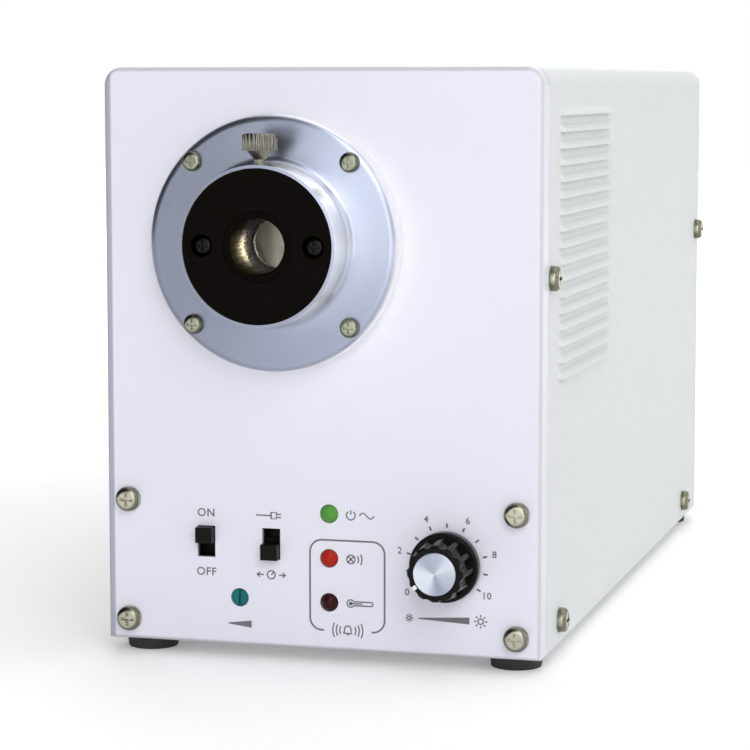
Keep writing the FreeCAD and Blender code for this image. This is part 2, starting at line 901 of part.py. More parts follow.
def louvre_wedge(name, inset, inner, outer, height, brim):
    """A block that leans from a tall inner face to a low, shorter outer one."""
    form = document.addObject("Part::Wedge", name)
    bind(
        form,
        Xmin=inset,
        Xmax=f"louvre_length - {inset}",
        X2min="louvre_taper",
        X2max="louvre_length - louvre_taper",
        Ymin=inner,
        Ymax=outer,
        Zmin="0",
        Zmax=height,
        Z2min="0",
        Z2max=brim,
    )
    return form


def make_louvres():
    """The pressed hoods of the right side, open below, and the slots behind them."""
    hood = louvre_wedge(
        "louvre_form", "0", "-cover_sheet / 2", "louvre_rise", "louvre_height", "louvre_brim"
    )
    hollow = louvre_wedge(
        "louvre_hollow",
        "louvre_skin",
        "-cover_sheet",
        "louvre_rise - louvre_skin",
        "louvre_height - louvre_skin",
        "louvre_brim / 2",
    )
    mouth = box(
        "louvre_mouth",
        ("louvre_taper", "0", "-louvre_brim"),
        ("louvre_length - louvre_taper", "louvre_rise - louvre_skin", "louvre_brim / 2"),
        put=move,
    )
    opening = join("louvre_opening", [hollow, mouth])
    outward = FreeCAD.Rotation(AXIS_Z, -90)
    rows = {"louvre_hoods": hood, "louvre_openings": opening}
    result = []
    for name, item in rows.items():
        links = []
        for row in range(int(SIZES["louvre_count"])):
            link = document.addObject("App::Link", item.Name + "_copy")
            link.LinkedObject = item
            level = f"louvre_top - louvre_height - {row} * louvre_pitch"
            links.append(place(link, ("half_width", "louvre_start + louvre_length", level), outward))
        result.append(group(name, links))
    return result


def make_top_cover():
    outer = arched_block(
        "cover_block",
        "half_width",
        "0",
        "case_height",
        "corner_radius",
        "cover_start",
        "case_depth",
    )
    hollow = arched_block(
        "cover_hollow",
        "half_width - cover_sheet",
        "-overrun",
        "case_height - cover_sheet",
        "corner_radius - cover_sheet",
        "cover_start - overrun",
        "case_depth + overrun",
    )
    hoods, openings = make_louvres()
    shell = cut("cover_shell", outer, [hollow])
    louvred = join("louvred_shell", [shell, hoods, mirrored("left_hoods", hoods)], refine=False)
    tools = [openings, mirrored("left_openings", openings)]
    tools += side_holes("cover_hole", LARGE_HOLE)
    keep(cut("top_cover", louvred, tools), "top_cover")


def side_strips(name, start, end, low, high):
    """The two upright strips of sheet that lie against the cover's sides."""
    strips = []
    for edge, inward in (("-inner_half", "+"), ("inner_half", "-")):
        left, right = span(edge, inward, "chassis_sheet")
        strips.append(box(name, (left, start, low), (right, end, high)))
    return strips


def make_chassis():
    floor = box(
        "chassis_floor",
        ("-inner_half", "panel_sheet", "0"),
        ("inner_half", "case_depth", "chassis_sheet"),
    )
    wall = arched_block(
        "chassis_wall",
        "inner_half",
        "0",
        "inner_top",
        "inner_radius",
        "panel_sheet",
        "wall_back",
    )
    ear_top = "case_height - flange_drop"
    ears = side_strips("chassis_ear", "panel_sheet", "flange_reach", "flange_low", ear_top)
    rails = side_strips("chassis_rail", "rail_start", "case_depth - rail_start", "0", "rail_height")
    solid = join("chassis_sheet_metal", [floor, wall] + ears + rails)

    front = "panel_sheet - overrun"
    tools = front_openings("wall", front, SHEET_CUT)
    tools += holes_at("wall_thread", LARGE_THREAD, SHEET_CUT, at_depth(front, PANEL_SCREWS))
    tools += holes_at("wall_thread", SMALL_THREAD, SHEET_CUT, at_depth(front, FLANGE_SCREWS))
    tools += side_holes("chassis_thread", LARGE_THREAD)
    below = at_level("-overrun", FEET + REAR_SCREWS)
    tools += holes_at("floor_thread", SMALL_THREAD, SHEET_CUT, below, "+z")
    below = at_level("-overrun", STAND_SCREWS)
    tools += holes_at("floor_hole", SMALL_HOLE, SHEET_CUT, below, "+z")
    keep(cut("bottom_chassis", solid, tools), "bottom_chassis")


def make_rear_panel():
    plate = arched_block(
        "rear_plate",
        "inner_half",
        "chassis_sheet",
        "inner_top",
        "inner_radius",
        "rear_front",
        "case_depth",
    )
    start, ear_top = "case_depth - flange_reach", "case_height - flange_drop"
    ears = side_strips("rear_ear", start, "case_depth", "rear_flange_low", ear_top)
    foot = box(
        "rear_foot",
        ("-rear_screw_spread - flange_drop / 2", "case_depth - rail_height", "chassis_sheet"),
        ("rear_screw_spread + flange_drop / 2", "case_depth", "2 * chassis_sheet"),
    )
    solid = join("rear_sheet_metal", [plate, foot] + ears)

    front = "rear_front - overrun"
    tools = holes_at("fan_opening", "fan_bore", SHEET_CUT, [("0", front, "fan_level")])
    tools += holes_at("fan_hole", LARGE_HOLE, SHEET_CUT, at_depth(front, FAN_SCREWS))
    tools += side_holes("rear_thread", LARGE_THREAD)
    inside = at_level("chassis_sheet - overrun", REAR_SCREWS)
    tools += holes_at("rear_foot_thread", SMALL_THREAD, SHEET_CUT, inside, "+z")
    tools += holes_at("inlet_thread", SMALL_THREAD, SHEET_CUT, at_depth(front, INLET_SCREWS))
    radius = "jack_bore + hole_gap"
    tools += holes_at("jack_hole", radius, SHEET_CUT, at_depth(front, JACK_SCREWS))
    for name, x, half, rise in (
        ("inlet_hole", "inlet_x", "inlet_width / 2", "inlet_height / 2"),
        ("rocker_hole", "rocker_offset", "rocker_body_width / 2", "rocker_body_height / 2"),
        (
            "connector_hole",
            "connector_offset",
            "connector_shell_top - connector_shell_wall",
            "connector_shell_half - connector_shell_wall",
        ),
    ):
        low = (f"{x} - ({half} + fit_gap)", front, f"rear_level - ({rise} + fit_gap)")
        high = (f"{x} + {half} + fit_gap", "case_depth + overrun", f"rear_level + {rise} + fit_gap")
        tools.append(box(name, low, high))
    keep(cut("rear_panel", solid, tools), "rear_panel")


def make_feet():
    foot = turned(
        "foot",
        [
            (SMALL_HOLE, "foot_socket_depth - foot_rise"),
            ("foot_socket", "foot_socket_depth - foot_rise"),
            ("foot_socket", "-foot_rise"),
            ("foot_toe", "-foot_rise"),
            ("foot_radius", "0"),
            (SMALL_HOLE, "0"),
        ],
        ORIGIN,
        put=move,
    )
    keep(group("feet", copies(foot, at_level("0", FEET))), "feet")


# ---------------------------------------------------------------- light outlet

OUTLET = ("outlet_x", "0", "outlet_level")


def clamp_bore(name):
    """The radial hole of the clamp screw, from the outlet's axis upwards."""
    return rod(name, "clamp_hole", "flange_radius", ("outlet_x", "clamp_y", "outlet_level"))


def make_flange():
    flange = turned(
        "flange_blank",
        [
            ("sleeve_radius + fit_gap", "-web_front"),
            ("boss_bore", "-web_front"),
            ("boss_bore", "-outlet_reach"),
            ("boss_radius", "-outlet_reach"),
            ("boss_radius", "-flange_thickness"),
            ("flange_radius", "-flange_thickness"),
            ("flange_radius", "0"),
            ("spigot_radius", "0"),
            ("spigot_radius", "spigot_length"),
            ("barrel_seat", "spigot_length"),
            ("barrel_seat", "-web_rear"),
            ("sleeve_radius + fit_gap", "-web_rear"),
        ],
        OUTLET,
        "+y",
    )
    dress(flange, "Fillet", "flange_edge", lies_at("Z", "-flange_thickness"))
    tools = [clamp_bore("boss_clamp_bore")]
    front = at_depth("-flange_thickness - overrun", FLANGE_SCREWS)
    tools += holes_at("flange_hole", SMALL_HOLE, "flange_thickness + 2 * overrun", front)
    tip = "insert_seat + insert_screw_length + thread_spare"
    front = at_depth("-web_front - overrun", INSERT_SCREWS)
    tools += holes_at("web_thread", SMALL_THREAD, f"{tip} + web_front + overrun", front)
    keep(cut("outlet_flange", flange, tools), "outlet_flange")

    screw = pan_screw("flange_screw", "small", "flange_screw_length")
    heads = at_depth("-flange_thickness", FLANGE_SCREWS)
    keep(group("flange_screws", copies(screw, heads, "+y")), "flange_screws")


def make_insert():
    """The black disc in the boss and the sleeve that the light guide slides into."""
    insert = turned(
        "insert_blank",
        [
            ("sleeve_radius + fit_gap", "insert_front"),
            ("insert_radius", "insert_front"),
            ("insert_radius", "-web_front"),
            ("sleeve_radius + fit_gap", "-web_front"),
        ],
        OUTLET,
        "+y",
    )
    tools = [clamp_bore("insert_clamp_bore")]
    front = at_depth("insert_front - overrun", INSERT_SCREWS)
    pocket = "insert_screw_sink + overrun"
    tools += holes_at("insert_pocket", "small_head + head_gap", pocket, front)
    tools += holes_at("insert_hole", SMALL_HOLE, "outlet_reach", front)
    keep(cut("outlet_insert", insert, tools), "outlet_insert")

    screw = pan_screw("insert_screw", "small", "insert_screw_length")
    heads = at_depth("insert_seat", INSERT_SCREWS)
    keep(group("insert_screws", copies(screw, heads, "+y")), "insert_screws")

    sleeve = turned(
        "sleeve_blank",
        [
            ("guide_radius", "sleeve_front + sleeve_edge"),
            ("guide_radius + sleeve_edge", "sleeve_front"),
            ("sleeve_radius", "sleeve_front"),
            ("sleeve_radius", "-web_rear"),
            ("guide_radius", "-web_rear"),
        ],
        OUTLET,
        "+y",
    )
    keep(cut("guide_sleeve", sleeve, [clamp_bore("sleeve_clamp_bore")]), "guide_sleeve")


def make_clamp():
    """The thumb screw on top of the boss, and the nylon tip that it pushes on the guide."""
    axis = ("outlet_x", "clamp_y", "outlet_level")
    start = ("outlet_x", "clamp_y", "outlet_level + clamp_tip_start")
    keep(rod("clamp_tip", "clamp_tip_radius", "clamp_tip_length", start), "clamp_tip")
    blank = turned(
        "thumb_screw_blank",
        [
            ("0", "clamp_tip_end"),
            ("small_thread", "clamp_tip_end"),
            ("small_thread", "clamp_neck_start"),
            ("clamp_neck_radius", "clamp_head_start"),
            ("clamp_head_radius", "clamp_head_start"),
            ("clamp_head_radius", "clamp_head_end - clamp_edge"),
            ("clamp_head_radius - clamp_edge", "clamp_head_end"),
            ("0", "clamp_head_end"),
        ],
        axis,
    )
    groove = rod(
        "knurl",
        "knurl_radius",
        "clamp_head_end - clamp_head_start + 2 * overrun",
        ("clamp_head_radius + knurl_radius - knurl_depth", "0", "clamp_head_start - overrun"),
        put=move,
    )
    knurls = ring_of(group("knurl_tool", [groove]), int(SIZES["knurl_count"]), axis)
    half = "clamp_head_radius + overrun"
    slot = box(
        "thumb_slot",
        (
            f"outlet_x - ({half})",
            "clamp_y - clamp_slot_width / 2",
            "outlet_level + clamp_head_end - clamp_slot_depth",
        ),
        (
            f"outlet_x + {half}",
            "clamp_y + clamp_slot_width / 2",
            "outlet_level + clamp_head_end + overrun",
        ),
    )
    keep(cut("thumb_screw", blank, knurls + [slot]), "thumb_screw")


def make_lens_tube():
    """The tube that slips into the flange, seats on the heat sink and carries the lens."""
    foot_front = "sink_front - barrel_foot_height"
    throat_front = "stop_thickness - web_rear"
    tube = turned(
        "barrel_blank",
        [
            ("stop_radius", "-web_rear"),
            ("barrel_radius", "-web_rear"),
            ("barrel_radius", foot_front),
            ("barrel_foot_radius", foot_front),
            ("barrel_foot_radius", "sink_front"),
            ("barrel_bore", "sink_front"),
            ("barrel_bore", "lens_seat"),
            ("throat_radius", "lens_seat"),
            ("throat_radius", throat_front),
            ("stop_radius", throat_front),
        ],
        OUTLET,
        "+y",
    )
    length = "barrel_foot_height + 2 * overrun"
    hole = rod("barrel_hole", SMALL_HOLE, length, ORIGIN, put=move)
    holes = barrel_ring("barrel_hole_tool", hole, f"{foot_front} - overrun")
    keep(cut("lens_barrel", tube, holes), "lens_barrel")


def make_optics():
    ball = document.addObject("Part::Sphere", "lens_ball")
    bind(ball, Radius="lens_curve")
    centre = "sqrt(lens_curve * lens_curve - throat_radius * throat_radius)"
    place(ball, ("outlet_x", f"lens_seat + {centre}", "outlet_level"))
    front = ("outlet_x", "lens_back - lens_curve", "outlet_level")
    column = rod("lens_column", "throat_radius - fit_gap", "lens_curve", front, "+y")
    dome = common("lens_dome", ball, column)
    spot = ("outlet_x", "lens_seat", "outlet_level")
    rim = rod("lens_rim", "lens_radius", "lens_edge", spot, "+y")
    keep(join("condenser_lens", [dome, rim]), "condenser_lens")
    keep(
        turned(
            "lens_ring",
            [
                ("lens_ring_bore", "lens_back"),
                ("lens_radius", "lens_back"),
                ("lens_radius", "lens_back + lens_ring_height"),
                ("lens_ring_bore", "lens_back + lens_ring_height"),
            ],
            OUTLET,
            "+y",
        ),
        "lens_ring",
    )
    spot = ("outlet_x", "sink_front - lamp_board_height", "outlet_level")
    keep(rod("led_board", "lens_radius", "lamp_board_height", spot, "+y"), "led_board")
    spot = ("outlet_x", "sink_front - lamp_board_height - emitter_height", "outlet_level")
    keep(rod("led_emitter", "emitter_radius", "emitter_height", spot, "+y"), "led_emitter")


# ---------------------------------------------------------------- cooling


def make_heat_sink():
    right, top = "sink_left + sink_width", "sink_bottom + sink_height"
    base = box(
        "sink_plate", ("sink_left", "sink_front", "sink_bottom"), (right, "sink_front + sink_base", top)
    )
    fins = []
    for row in range(int(SIZES["fin_count"])):
        level = f"sink_bottom + {row} * (fin_thickness + fin_gap)"
        low = ("sink_left", "sink_front + sink_base / 2", level)
        fins.append(box("sink_fin", low, (right, "sink_back", f"{level} + fin_thickness")))
    grip = "small_length - barrel_foot_height + thread_spare"
    thread = rod("sink_thread", SMALL_THREAD, f"{grip} + overrun", ORIGIN, put=move)
    threads = barrel_ring("sink_thread_tool", thread, "sink_front - overrun")
    grip = "small_length - stand_sheet + thread_spare"
    below = at_level("sink_bottom - overrun", SHELF_SCREWS)
    threads += holes_at("shelf_thread", SMALL_THREAD, f"{grip} + overrun", below, "+z")
    keep(cut("heat_sink", join("finned_block", [base] + fins), threads), "heat_sink")


def make_stand():
    """The bent sheet table that carries the heat sink."""
    parts = [
        box(
            "stand_shelf",
            ("stand_left", "sink_front", "sink_bottom - stand_sheet"),
            ("stand_right", "sink_back", "sink_bottom"),
        )
    ]
    for edge, inward in (("stand_left", "+"), ("stand_right", "-")):
        for name, width, top in (
            ("stand_leg", "stand_sheet", "sink_bottom"),
            ("stand_toe", "stand_foot", "chassis_sheet + stand_sheet"),
        ):
            left, right = span(edge, inward, width)
            parts.append(box(name, (left, "sink_front", "chassis_sheet"), (right, "sink_back", top)))
    cut_depth = "stand_sheet + 2 * overrun"
    below = at_level("chassis_sheet - overrun", STAND_SCREWS)
    tools = holes_at("toe_thread", SMALL_THREAD, cut_depth, below, "+z")
    below = at_level("sink_bottom - stand_sheet - overrun", SHELF_SCREWS)
    tools += holes_at("shelf_hole", SMALL_HOLE, cut_depth, below, "+z")
    keep(cut("heat_sink_stand", join("stand_sheet_metal", parts), tools), "heat_sink_stand")


def make_sensor():
    x, z = "outlet_x + barrel_foot_radius + sensor_gap + sensor_width / 2", "outlet_level"
    low = (f"{x} - sensor_width / 2", "sink_front - sensor_thickness", f"{z} - sensor_height / 2")
    high = (f"{x} + sensor_width / 2", "sink_front", f"{z} + sensor_height / 2")
    keep(box("thermal_sensor", low, high), "thermal_sensor")


def make_fan_frame():
    half = "fan_width / 2"
    block = box(
        "fan_block",
        (f"-{half}", "fan_front", f"fan_level - {half}"),
        (half, "rear_front", f"fan_level + {half}"),
    )
    through, front = "fan_thickness + 2 * overrun", "fan_front - overrun"
    tools = holes_at("fan_duct", "fan_bore", through, [("0", front, "fan_level")])
    tools += holes_at("fan_frame_hole", LARGE_THREAD, through, at_depth(front, FAN_SCREWS))
    shell = cut("fan_shell", block, tools)
    reach, strut = "fan_bore + fan_wall / 2", "fan_strut / 2"
    end = "fan_front + fan_strut_thickness"
    struts = [
        box(
            "fan_strut_bar",
            (f"-({wide})", "fan_front", f"fan_level - ({high})"),
            (wide, end, f"fan_level + {high}"),
        )
        for wide, high in ((reach, strut), (strut, reach))
    ]
    spot = ("0", "fan_front", "fan_level")
    motor = rod("fan_motor", "motor_radius", "rotor_start - rotor_gap - fan_front", spot, "+y")
    spot = ("0", "rotor_start - rotor_shaft_length - fit_gap", "fan_level")
    bearing = rod("fan_bearing", "rotor_shaft + fit_gap", "fan_thickness", spot, "+y")
    keep(cut("fan_frame", join("fan_body", [shell, motor] + struts), [bearing]), "fan_frame")


def make_fan_rotor():
    form = document.addObject("Part::Box", "blade_form")
    bind(
        form,
        Length="rotor_tip - rotor_hub + 2 * blade_root",
        Width="blade_thickness",
        Height="blade_chord",
    )
    move(
        form,
        (
            "rotor_hub - blade_root",
            "blade_chord / 2 * sin(blade_pitch)",
            "(rotor_length - blade_chord * cos(blade_pitch)) / 2",
        ),
        FreeCAD.Rotation(AXIS_X, SIZES["blade_pitch"]),
    )
    sweep = turned(
        "rotor_sweep",
        [
            ("0", "blade_margin"),
            ("rotor_tip", "blade_margin"),
            ("rotor_tip", "rotor_length - blade_margin"),
            ("0", "rotor_length - blade_margin"),
        ],
        ORIGIN,
        put=move,
    )
    blade_tool = group("blade_tool", [common("fan_blade", form, sweep)])
    spot = ("0", "rotor_start", "fan_level")
    blades = ring_of(blade_tool, int(SIZES["blade_count"]), spot, "+y")
    hub = turned(
        "rotor_hub_body",
        [
            ("0", "-rotor_shaft_length"),
            ("rotor_shaft", "-rotor_shaft_length"),
            ("rotor_shaft", "0"),
            ("rotor_hub", "0"),
            ("rotor_hub", "rotor_length - rotor_edge"),
            ("rotor_hub - rotor_edge", "rotor_length"),
            ("0", "rotor_length"),
        ],
        spot,
        "+y",
    )
    keep(join("fan_rotor", [hub] + blades, refine=False), "fan_rotor")


def wire_ring(name, radius, spot):
    ring = document.addObject("Part::Torus", name)
    bind(ring, Radius1=radius, Radius2="guard_wire")
    return place(ring, spot, FACING["+y"])


def make_guard():
    """The wire finger guard: rings on two crossed wires that end in eyes under the screws."""
    wire_y = "case_depth + guard_wire"
    step = "(guard_last - guard_first) / (guard_rings - 1)"
    wires = []
    for index in range(int(SIZES["guard_rings"])):
        spot = ("0", f"{wire_y} + 2 * guard_wire - guard_weld", "fan_level")
        wires.append(wire_ring("guard_ring", f"guard_first + {index} * {step}", spot))
    for angle in (45, 135, 225, 315):
        turn = FreeCAD.Rotation(AXIS_Y, angle)
        toward = turn.multVec(AXIS_Z)
        start = "(guard_first - guard_wire)"
        spot = (f"{toward.x} * {start}", wire_y, f"fan_level + {toward.z} * {start}")
        spoke = document.addObject("Part::Cylinder", "guard_spoke")
        bind(spoke, Radius="guard_wire", Height=f"fan_screw_spread * sqrt(2) - {start} - guard_eye")
        wires.append(place(spoke, spot, turn))
    wires += [wire_ring("guard_eye_ring", "guard_eye", (x, wire_y, z)) for x, z in FAN_SCREWS]
    keep(join("fan_guard", wires), "fan_guard")
    screw = pan_screw("fan_screw", "large", "fan_screw_length")
    heads = at_depth("case_depth + 2 * guard_wire", FAN_SCREWS)
    keep(group("fan_screws", copies(screw, heads, "-y")), "fan_screws")


# ---------------------------------------------------------------- electronics


def block_on(name, x, y, width, length, low, height):
    """A block that stands at a level, centred on (x, y)."""
    return box(
        name,
        (f"{x} - {width} / 2", f"{y} - {length} / 2", low),
        (f"{x} + {width} / 2", f"{y} + {length} / 2", f"{low} + {height}"),
    )


def hollow_post(name, height):
    """A threaded standoff at the origin, rising along +Z."""
    return turned(
        name,
        [
            (SMALL_THREAD, "0"),
            ("standoff_radius", "0"),
            ("standoff_radius", height),
            (SMALL_THREAD, height),
        ],
        ORIGIN,
        put=move,
    )


def make_supply():
    half = "supply_width / 2"
    board = box(
        "supply_sheet", (f"-{half}", "supply_start", "supply_low"), (half, "supply_end", "supply_top")
    )
    depth = "supply_sheet + 2 * overrun"
    below = at_level("supply_low - overrun", SUPPLY_POSTS)
    holes = holes_at("supply_hole", SMALL_HOLE, depth, below, "+z")
    keep(cut("supply_board", board, holes), "supply_board")
    post = hollow_post("supply_post", "supply_rise")
    posts = copies(post, at_level("chassis_sheet", SUPPLY_POSTS))
    keep(group("supply_standoffs", posts), "supply_standoffs")

    x, y = "transformer_shift", "(supply_start + transformer_setback)"
    core = block_on(
        "transformer_core",
        x,
        y,
        "transformer_width",
        "transformer_length",
        "supply_top",
        "transformer_height",
    )
    winding = block_on(
        "transformer_winding",
        x,
        y,
        "winding_width",
        "winding_length",
        "supply_top + winding_rise",
        "winding_height",
    )
    keep(join("supply_transformer", [core, winding]), "supply_transformer")

    can = turned(
        "capacitor",
        [
            ("0", "0"),
            ("capacitor_radius", "0"),
            ("capacitor_radius", "capacitor_height - capacitor_edge"),
            ("capacitor_radius - capacitor_edge", "capacitor_height"),
            ("0", "capacitor_height"),
        ],
        ORIGIN,
        put=move,
    )
    start = "supply_start + capacitor_setback"
    spots = [
        ("-capacitor_shift", f"{start} + {step} * capacitor_pitch", "supply_top")
        for step in range(int(SIZES["capacitor_count"]))
    ]
    keep(group("supply_capacitors", copies(can, spots)), "supply_capacitors")


def make_control_board():
    board = box(
        "board_blank",
        ("-board_left", "board_front", "board_low"),
        ("board_right", "board_back", "board_high"),
    )
    depth, front = "board_sheet + 2 * overrun", "board_front - overrun"
    holes = holes_at("board_hole", SMALL_HOLE, depth, at_depth(front, BOARD_POSTS))
    leads = [
        (f"lamp_offset {side} lamp_lead_spread", front, z) for z in LAMPS.values() for side in "-+"
    ]
    holes += holes_at("lead_hole", "lamp_lead + fit_gap", depth, leads)
    keep(cut("control_board", board, holes), "control_board")
    post = hollow_post("control_post", "board_standoff")
    posts = copies(post, at_depth("wall_back", BOARD_POSTS), "+y")
    keep(group("control_standoffs", posts), "control_standoffs")


def block_facing(name, x, z, width, height, start, end):
    """A block behind the panel, centred on (x, z)."""
    return box(
        name,
        (f"{x} - ({width}) / 2", start, f"{z} - ({height}) / 2"),
        (f"{x} + ({width}) / 2", end, f"{z} + ({height}) / 2"),
    )


def make_slide_switch(name, x, rest_side):
    """A slide switch; its lever rests at the top (+) or the bottom (-) of the slot."""
    z = "switch_level"
    back = "wall_back + slide_body_depth"
    chamber_width = "slot_width + 2 * lever_foot_step"
    chamber_height = "slot_height + 2 * lever_foot_step"
    width = f"{chamber_width} + 2 * slide_wall"
    case = block_facing(name + "_case", x, z, width, "slide_body_height", "wall_back", back)
    pins = []
    for row in (-1, 0, 1):
        level = f"switch_level + {row} * slide_pin_pitch"
        side = "slide_pin_width"
        pins.append(block_facing(name + "_pin", x, level, side, side, back, "board_front"))
    slot_front, chamber_front = "wall_back - overrun", "slide_chamber_front"
    slot = block_facing(
        name + "_slot", x, z, "slot_width", "slot_height", slot_front, f"{chamber_front} + overrun"
    )
    chamber = block_facing(
        name + "_chamber",
        x,
        z,
        chamber_width,
        chamber_height,
        chamber_front,
        f"{chamber_front} + lever_foot_depth + 2 * lever_gap",
    )
    body = join(name + "_solid", [case] + pins)
    keep(cut(name + "_body", body, [slot, chamber]), name + "_body")

    level = f"switch_level {rest_side} lever_travel / 2"
    half, rise = "(slot_width / 2 - lever_gap)", "lever_height / 2"
    corners = [
        (f"{x} - {half}", f"{level} - {rise}"),
        (f"{x} + {half}", f"{level} - {rise}"),
        (f"{x} + {half}", f"{level} + {rise}"),
        (f"{x} - {half}", f"{level} + {rise}"),
    ]
    foot_start = f"{chamber_front} + lever_gap"
    length = f"lever_reach + {foot_start} + lever_foot_depth / 2"
    stem = prism(name + "_stem", "XZ", corners, length, ("0", "-lever_reach", "0"))
    dress(stem, "Fillet", "lever_edge", lies_at("Y", "0"))
    foot = block_facing(
        name + "_foot",
        x,
        level,
        f"2 * {half} + 2 * lever_foot_step",
        "lever_height + 2 * lever_foot_step",
        foot_start,
        f"{foot_start} + lever_foot_depth",
    )
    keep(join(name + "_lever", [stem, foot]), name + "_lever")


def make_trimmer():
    x, z, width = "trimmer_x", "trimmer_level", "trimmer_width"
    block = block_facing("trimmer_block", x, z, width, width, "trimmer_start", "board_front")
    radius, depth = "trimmer_screw_radius + fit_gap", "trimmer_screw_depth + overrun"
    socket = rod("trimmer_socket", radius, depth, (x, "trimmer_start - overrun", z), "+y")
    keep(cut("trimmer_body", block, [socket]), "trimmer_body")
    length = "trimmer_start + trimmer_screw_depth - fit_gap - trimmer_screw_start"
    spot = (x, "trimmer_screw_start", z)
    plug = rod("trimmer_plug", "trimmer_screw_radius", length, spot, "+y")
    slot = block_facing(
        "trimmer_slot",
        x,
        z,
        "trimmer_slot_width",
        width,
        "trimmer_screw_start - overrun",
        "trimmer_screw_start + trimmer_slot_depth",
    )
    keep(cut("trimmer_screw", plug, [slot]), "trimmer_screw")


def make_lamps():
    """The three indicator lamps, each with its leads, on spacers in front of the board."""
    spacers = []
    for name, z in LAMPS.items():
        spot = ("lamp_offset", "lamp_radius - lamp_reach", z)
        body = rod(name + "_body", "lamp_radius", "lamp_length - lamp_radius", spot, "+y")
        dome = document.addObject("Part::Sphere", name + "_dome")
        bind(dome, Radius="lamp_radius")
        place(dome, spot)
        spot = ("lamp_offset", "lamp_back - lamp_rim_height", z)
        rim = rod(name + "_rim", "lamp_rim", "lamp_rim_height", spot, "+y")
        starts = [(f"lamp_offset {side} lamp_lead_spread", "lamp_back", z) for side in "-+"]
        leads = holes_at(name + "_lead", "lamp_lead", "board_back - lamp_back", starts)
        keep(join(name, [body, dome, rim] + leads), name)
        spot = ("lamp_offset", "lamp_back", z)
        tube = rod("spacer_tube", "lamp_rim", "board_front - lamp_back", spot, "+y")
        spot = ("lamp_offset", "lamp_back - overrun", z)
        bore = rod("spacer_hole", "spacer_bore", "board_front", spot, "+y")
        spacers.append(cut("lamp_spacer", tube, [bore]))
    keep(group("lamp_spacers", spacers), "lamp_spacers")


# ---------------------------------------------------------------- light control

KNOB = ("knob_offset", "0", "knob_level")


def make_potentiometer():
    shaft_end = "wall_back + pot_shaft_foot"
    bore = "pot_shaft + fit_gap"
    keep(
        turned(
            "potentiometer_body",
            [
                (bore, "-bushing_reach"),
                ("bushing_radius", "-bushing_reach"),
                ("bushing_radius", "wall_back"),
                ("pot_radius", "wall_back"),
                ("pot_radius", "board_front"),
                ("0", "board_front"),
                ("0", f"{shaft_end} + fit_gap"),
                (bore, f"{shaft_end} + fit_gap"),
            ],
            KNOB,
            "+y",
        ),
        "potentiometer_body",
    )
    hexagon = document.addObject("Part::Prism", "pot_nut_blank")
    bind(hexagon, Circumradius="pot_nut_flat / cos(30)", Height="pot_nut_height")
    hexagon.Polygon = 6
    place(hexagon, ("knob_offset", "-pot_nut_height", "knob_level"), FACING["+y"])
    spot = ("knob_offset", "-pot_nut_height - overrun", "knob_level")
    depth = "pot_nut_height + 2 * overrun"
    thread = rod("pot_nut_thread", "bushing_radius + thread_gap", depth, spot, "+y")
    keep(cut("potentiometer_nut", hexagon, [thread]), "potentiometer_nut")
    spot = ("knob_offset", "-pot_shaft_end", "knob_level")
    shaft = rod("potentiometer_shaft", "pot_shaft", f"pot_shaft_end + {shaft_end}", spot, "+y")
    keep(shaft, "potentiometer_shaft")


def make_knob():
    skirt_front = "-knob_gap - knob_skirt_height"
    blank = turned(
        "knob_blank",
        [
            ("pot_shaft", "-pot_shaft_end"),
            ("0", "-pot_shaft_end"),
            ("0", "knob_front + cap_sink"),
            ("cap_radius", "knob_front + cap_sink"),
            ("cap_radius", "knob_front"),
            ("knob_top - knob_edge", "knob_front"),
            ("knob_top", "knob_front + knob_edge"),
            ("knob_waist", skirt_front),
            ("knob_skirt - knob_edge", skirt_front),
            ("knob_skirt", f"{skirt_front} + knob_edge"),
            ("knob_skirt", "-knob_gap"),
            ("knob_hollow", "-knob_gap"),
            ("knob_hollow", "hollow_end"),
            ("pot_shaft", "hollow_end"),
        ],
        KNOB,
        "+y",
    )
    flute = rod(
        "flute",
        "flute_radius",
        "knob_length",
        ("knob_top + flute_radius - flute_depth", "0", "-knob_length - knob_skirt_height - flute_lift"),
        put=move,
    )
    flute_tool = group("flute_tool", [flute])
    flutes = []
    for step in range(int(SIZES["knob_flutes"])):
        spin = 360 * (step + 0.5) / SIZES["knob_flutes"]
        flutes.append(copy(flute_tool, ("knob_offset", "-knob_gap", "knob_level"), "+y", spin))
    spot = ("knob_offset", "grub_y", "knob_level - pot_shaft")
    bore = rod("grub_bore", "small_thread", "knob_skirt", spot, "-z")
    knob = cut("light_knob", blank, flutes + [bore, make_pointer()])
    keep(knob, "light_knob")
    grub = rod("grub_blank", "small_thread", "grub_length", spot, "-z")
    hexagon = document.addObject("Part::Prism", "grub_socket")
    bind(hexagon, Circumradius="small_thread / 2", Height="grub_length")
    hexagon.Polygon = 6
    place(hexagon, ("knob_offset", "grub_y", "knob_level - pot_shaft - grub_length / 2"), FACING["-z"])
    keep(cut("knob_set_screw", grub, [hexagon]), "knob_set_screw")
    cap = turned(
        "knob_cap",
        [
            ("0", "knob_front + cap_sink"),
            ("cap_radius", "knob_front + cap_sink"),
            ("cap_radius", "knob_front + cap_sink + cap_edge - cap_thickness"),
            ("cap_radius - cap_edge", "knob_front + cap_sink - cap_thickness"),
            ("0", "knob_front + cap_sink - cap_thickness"),
        ],
        KNOB,
        "+y",
    )
    keep(cap, "knob_cap")


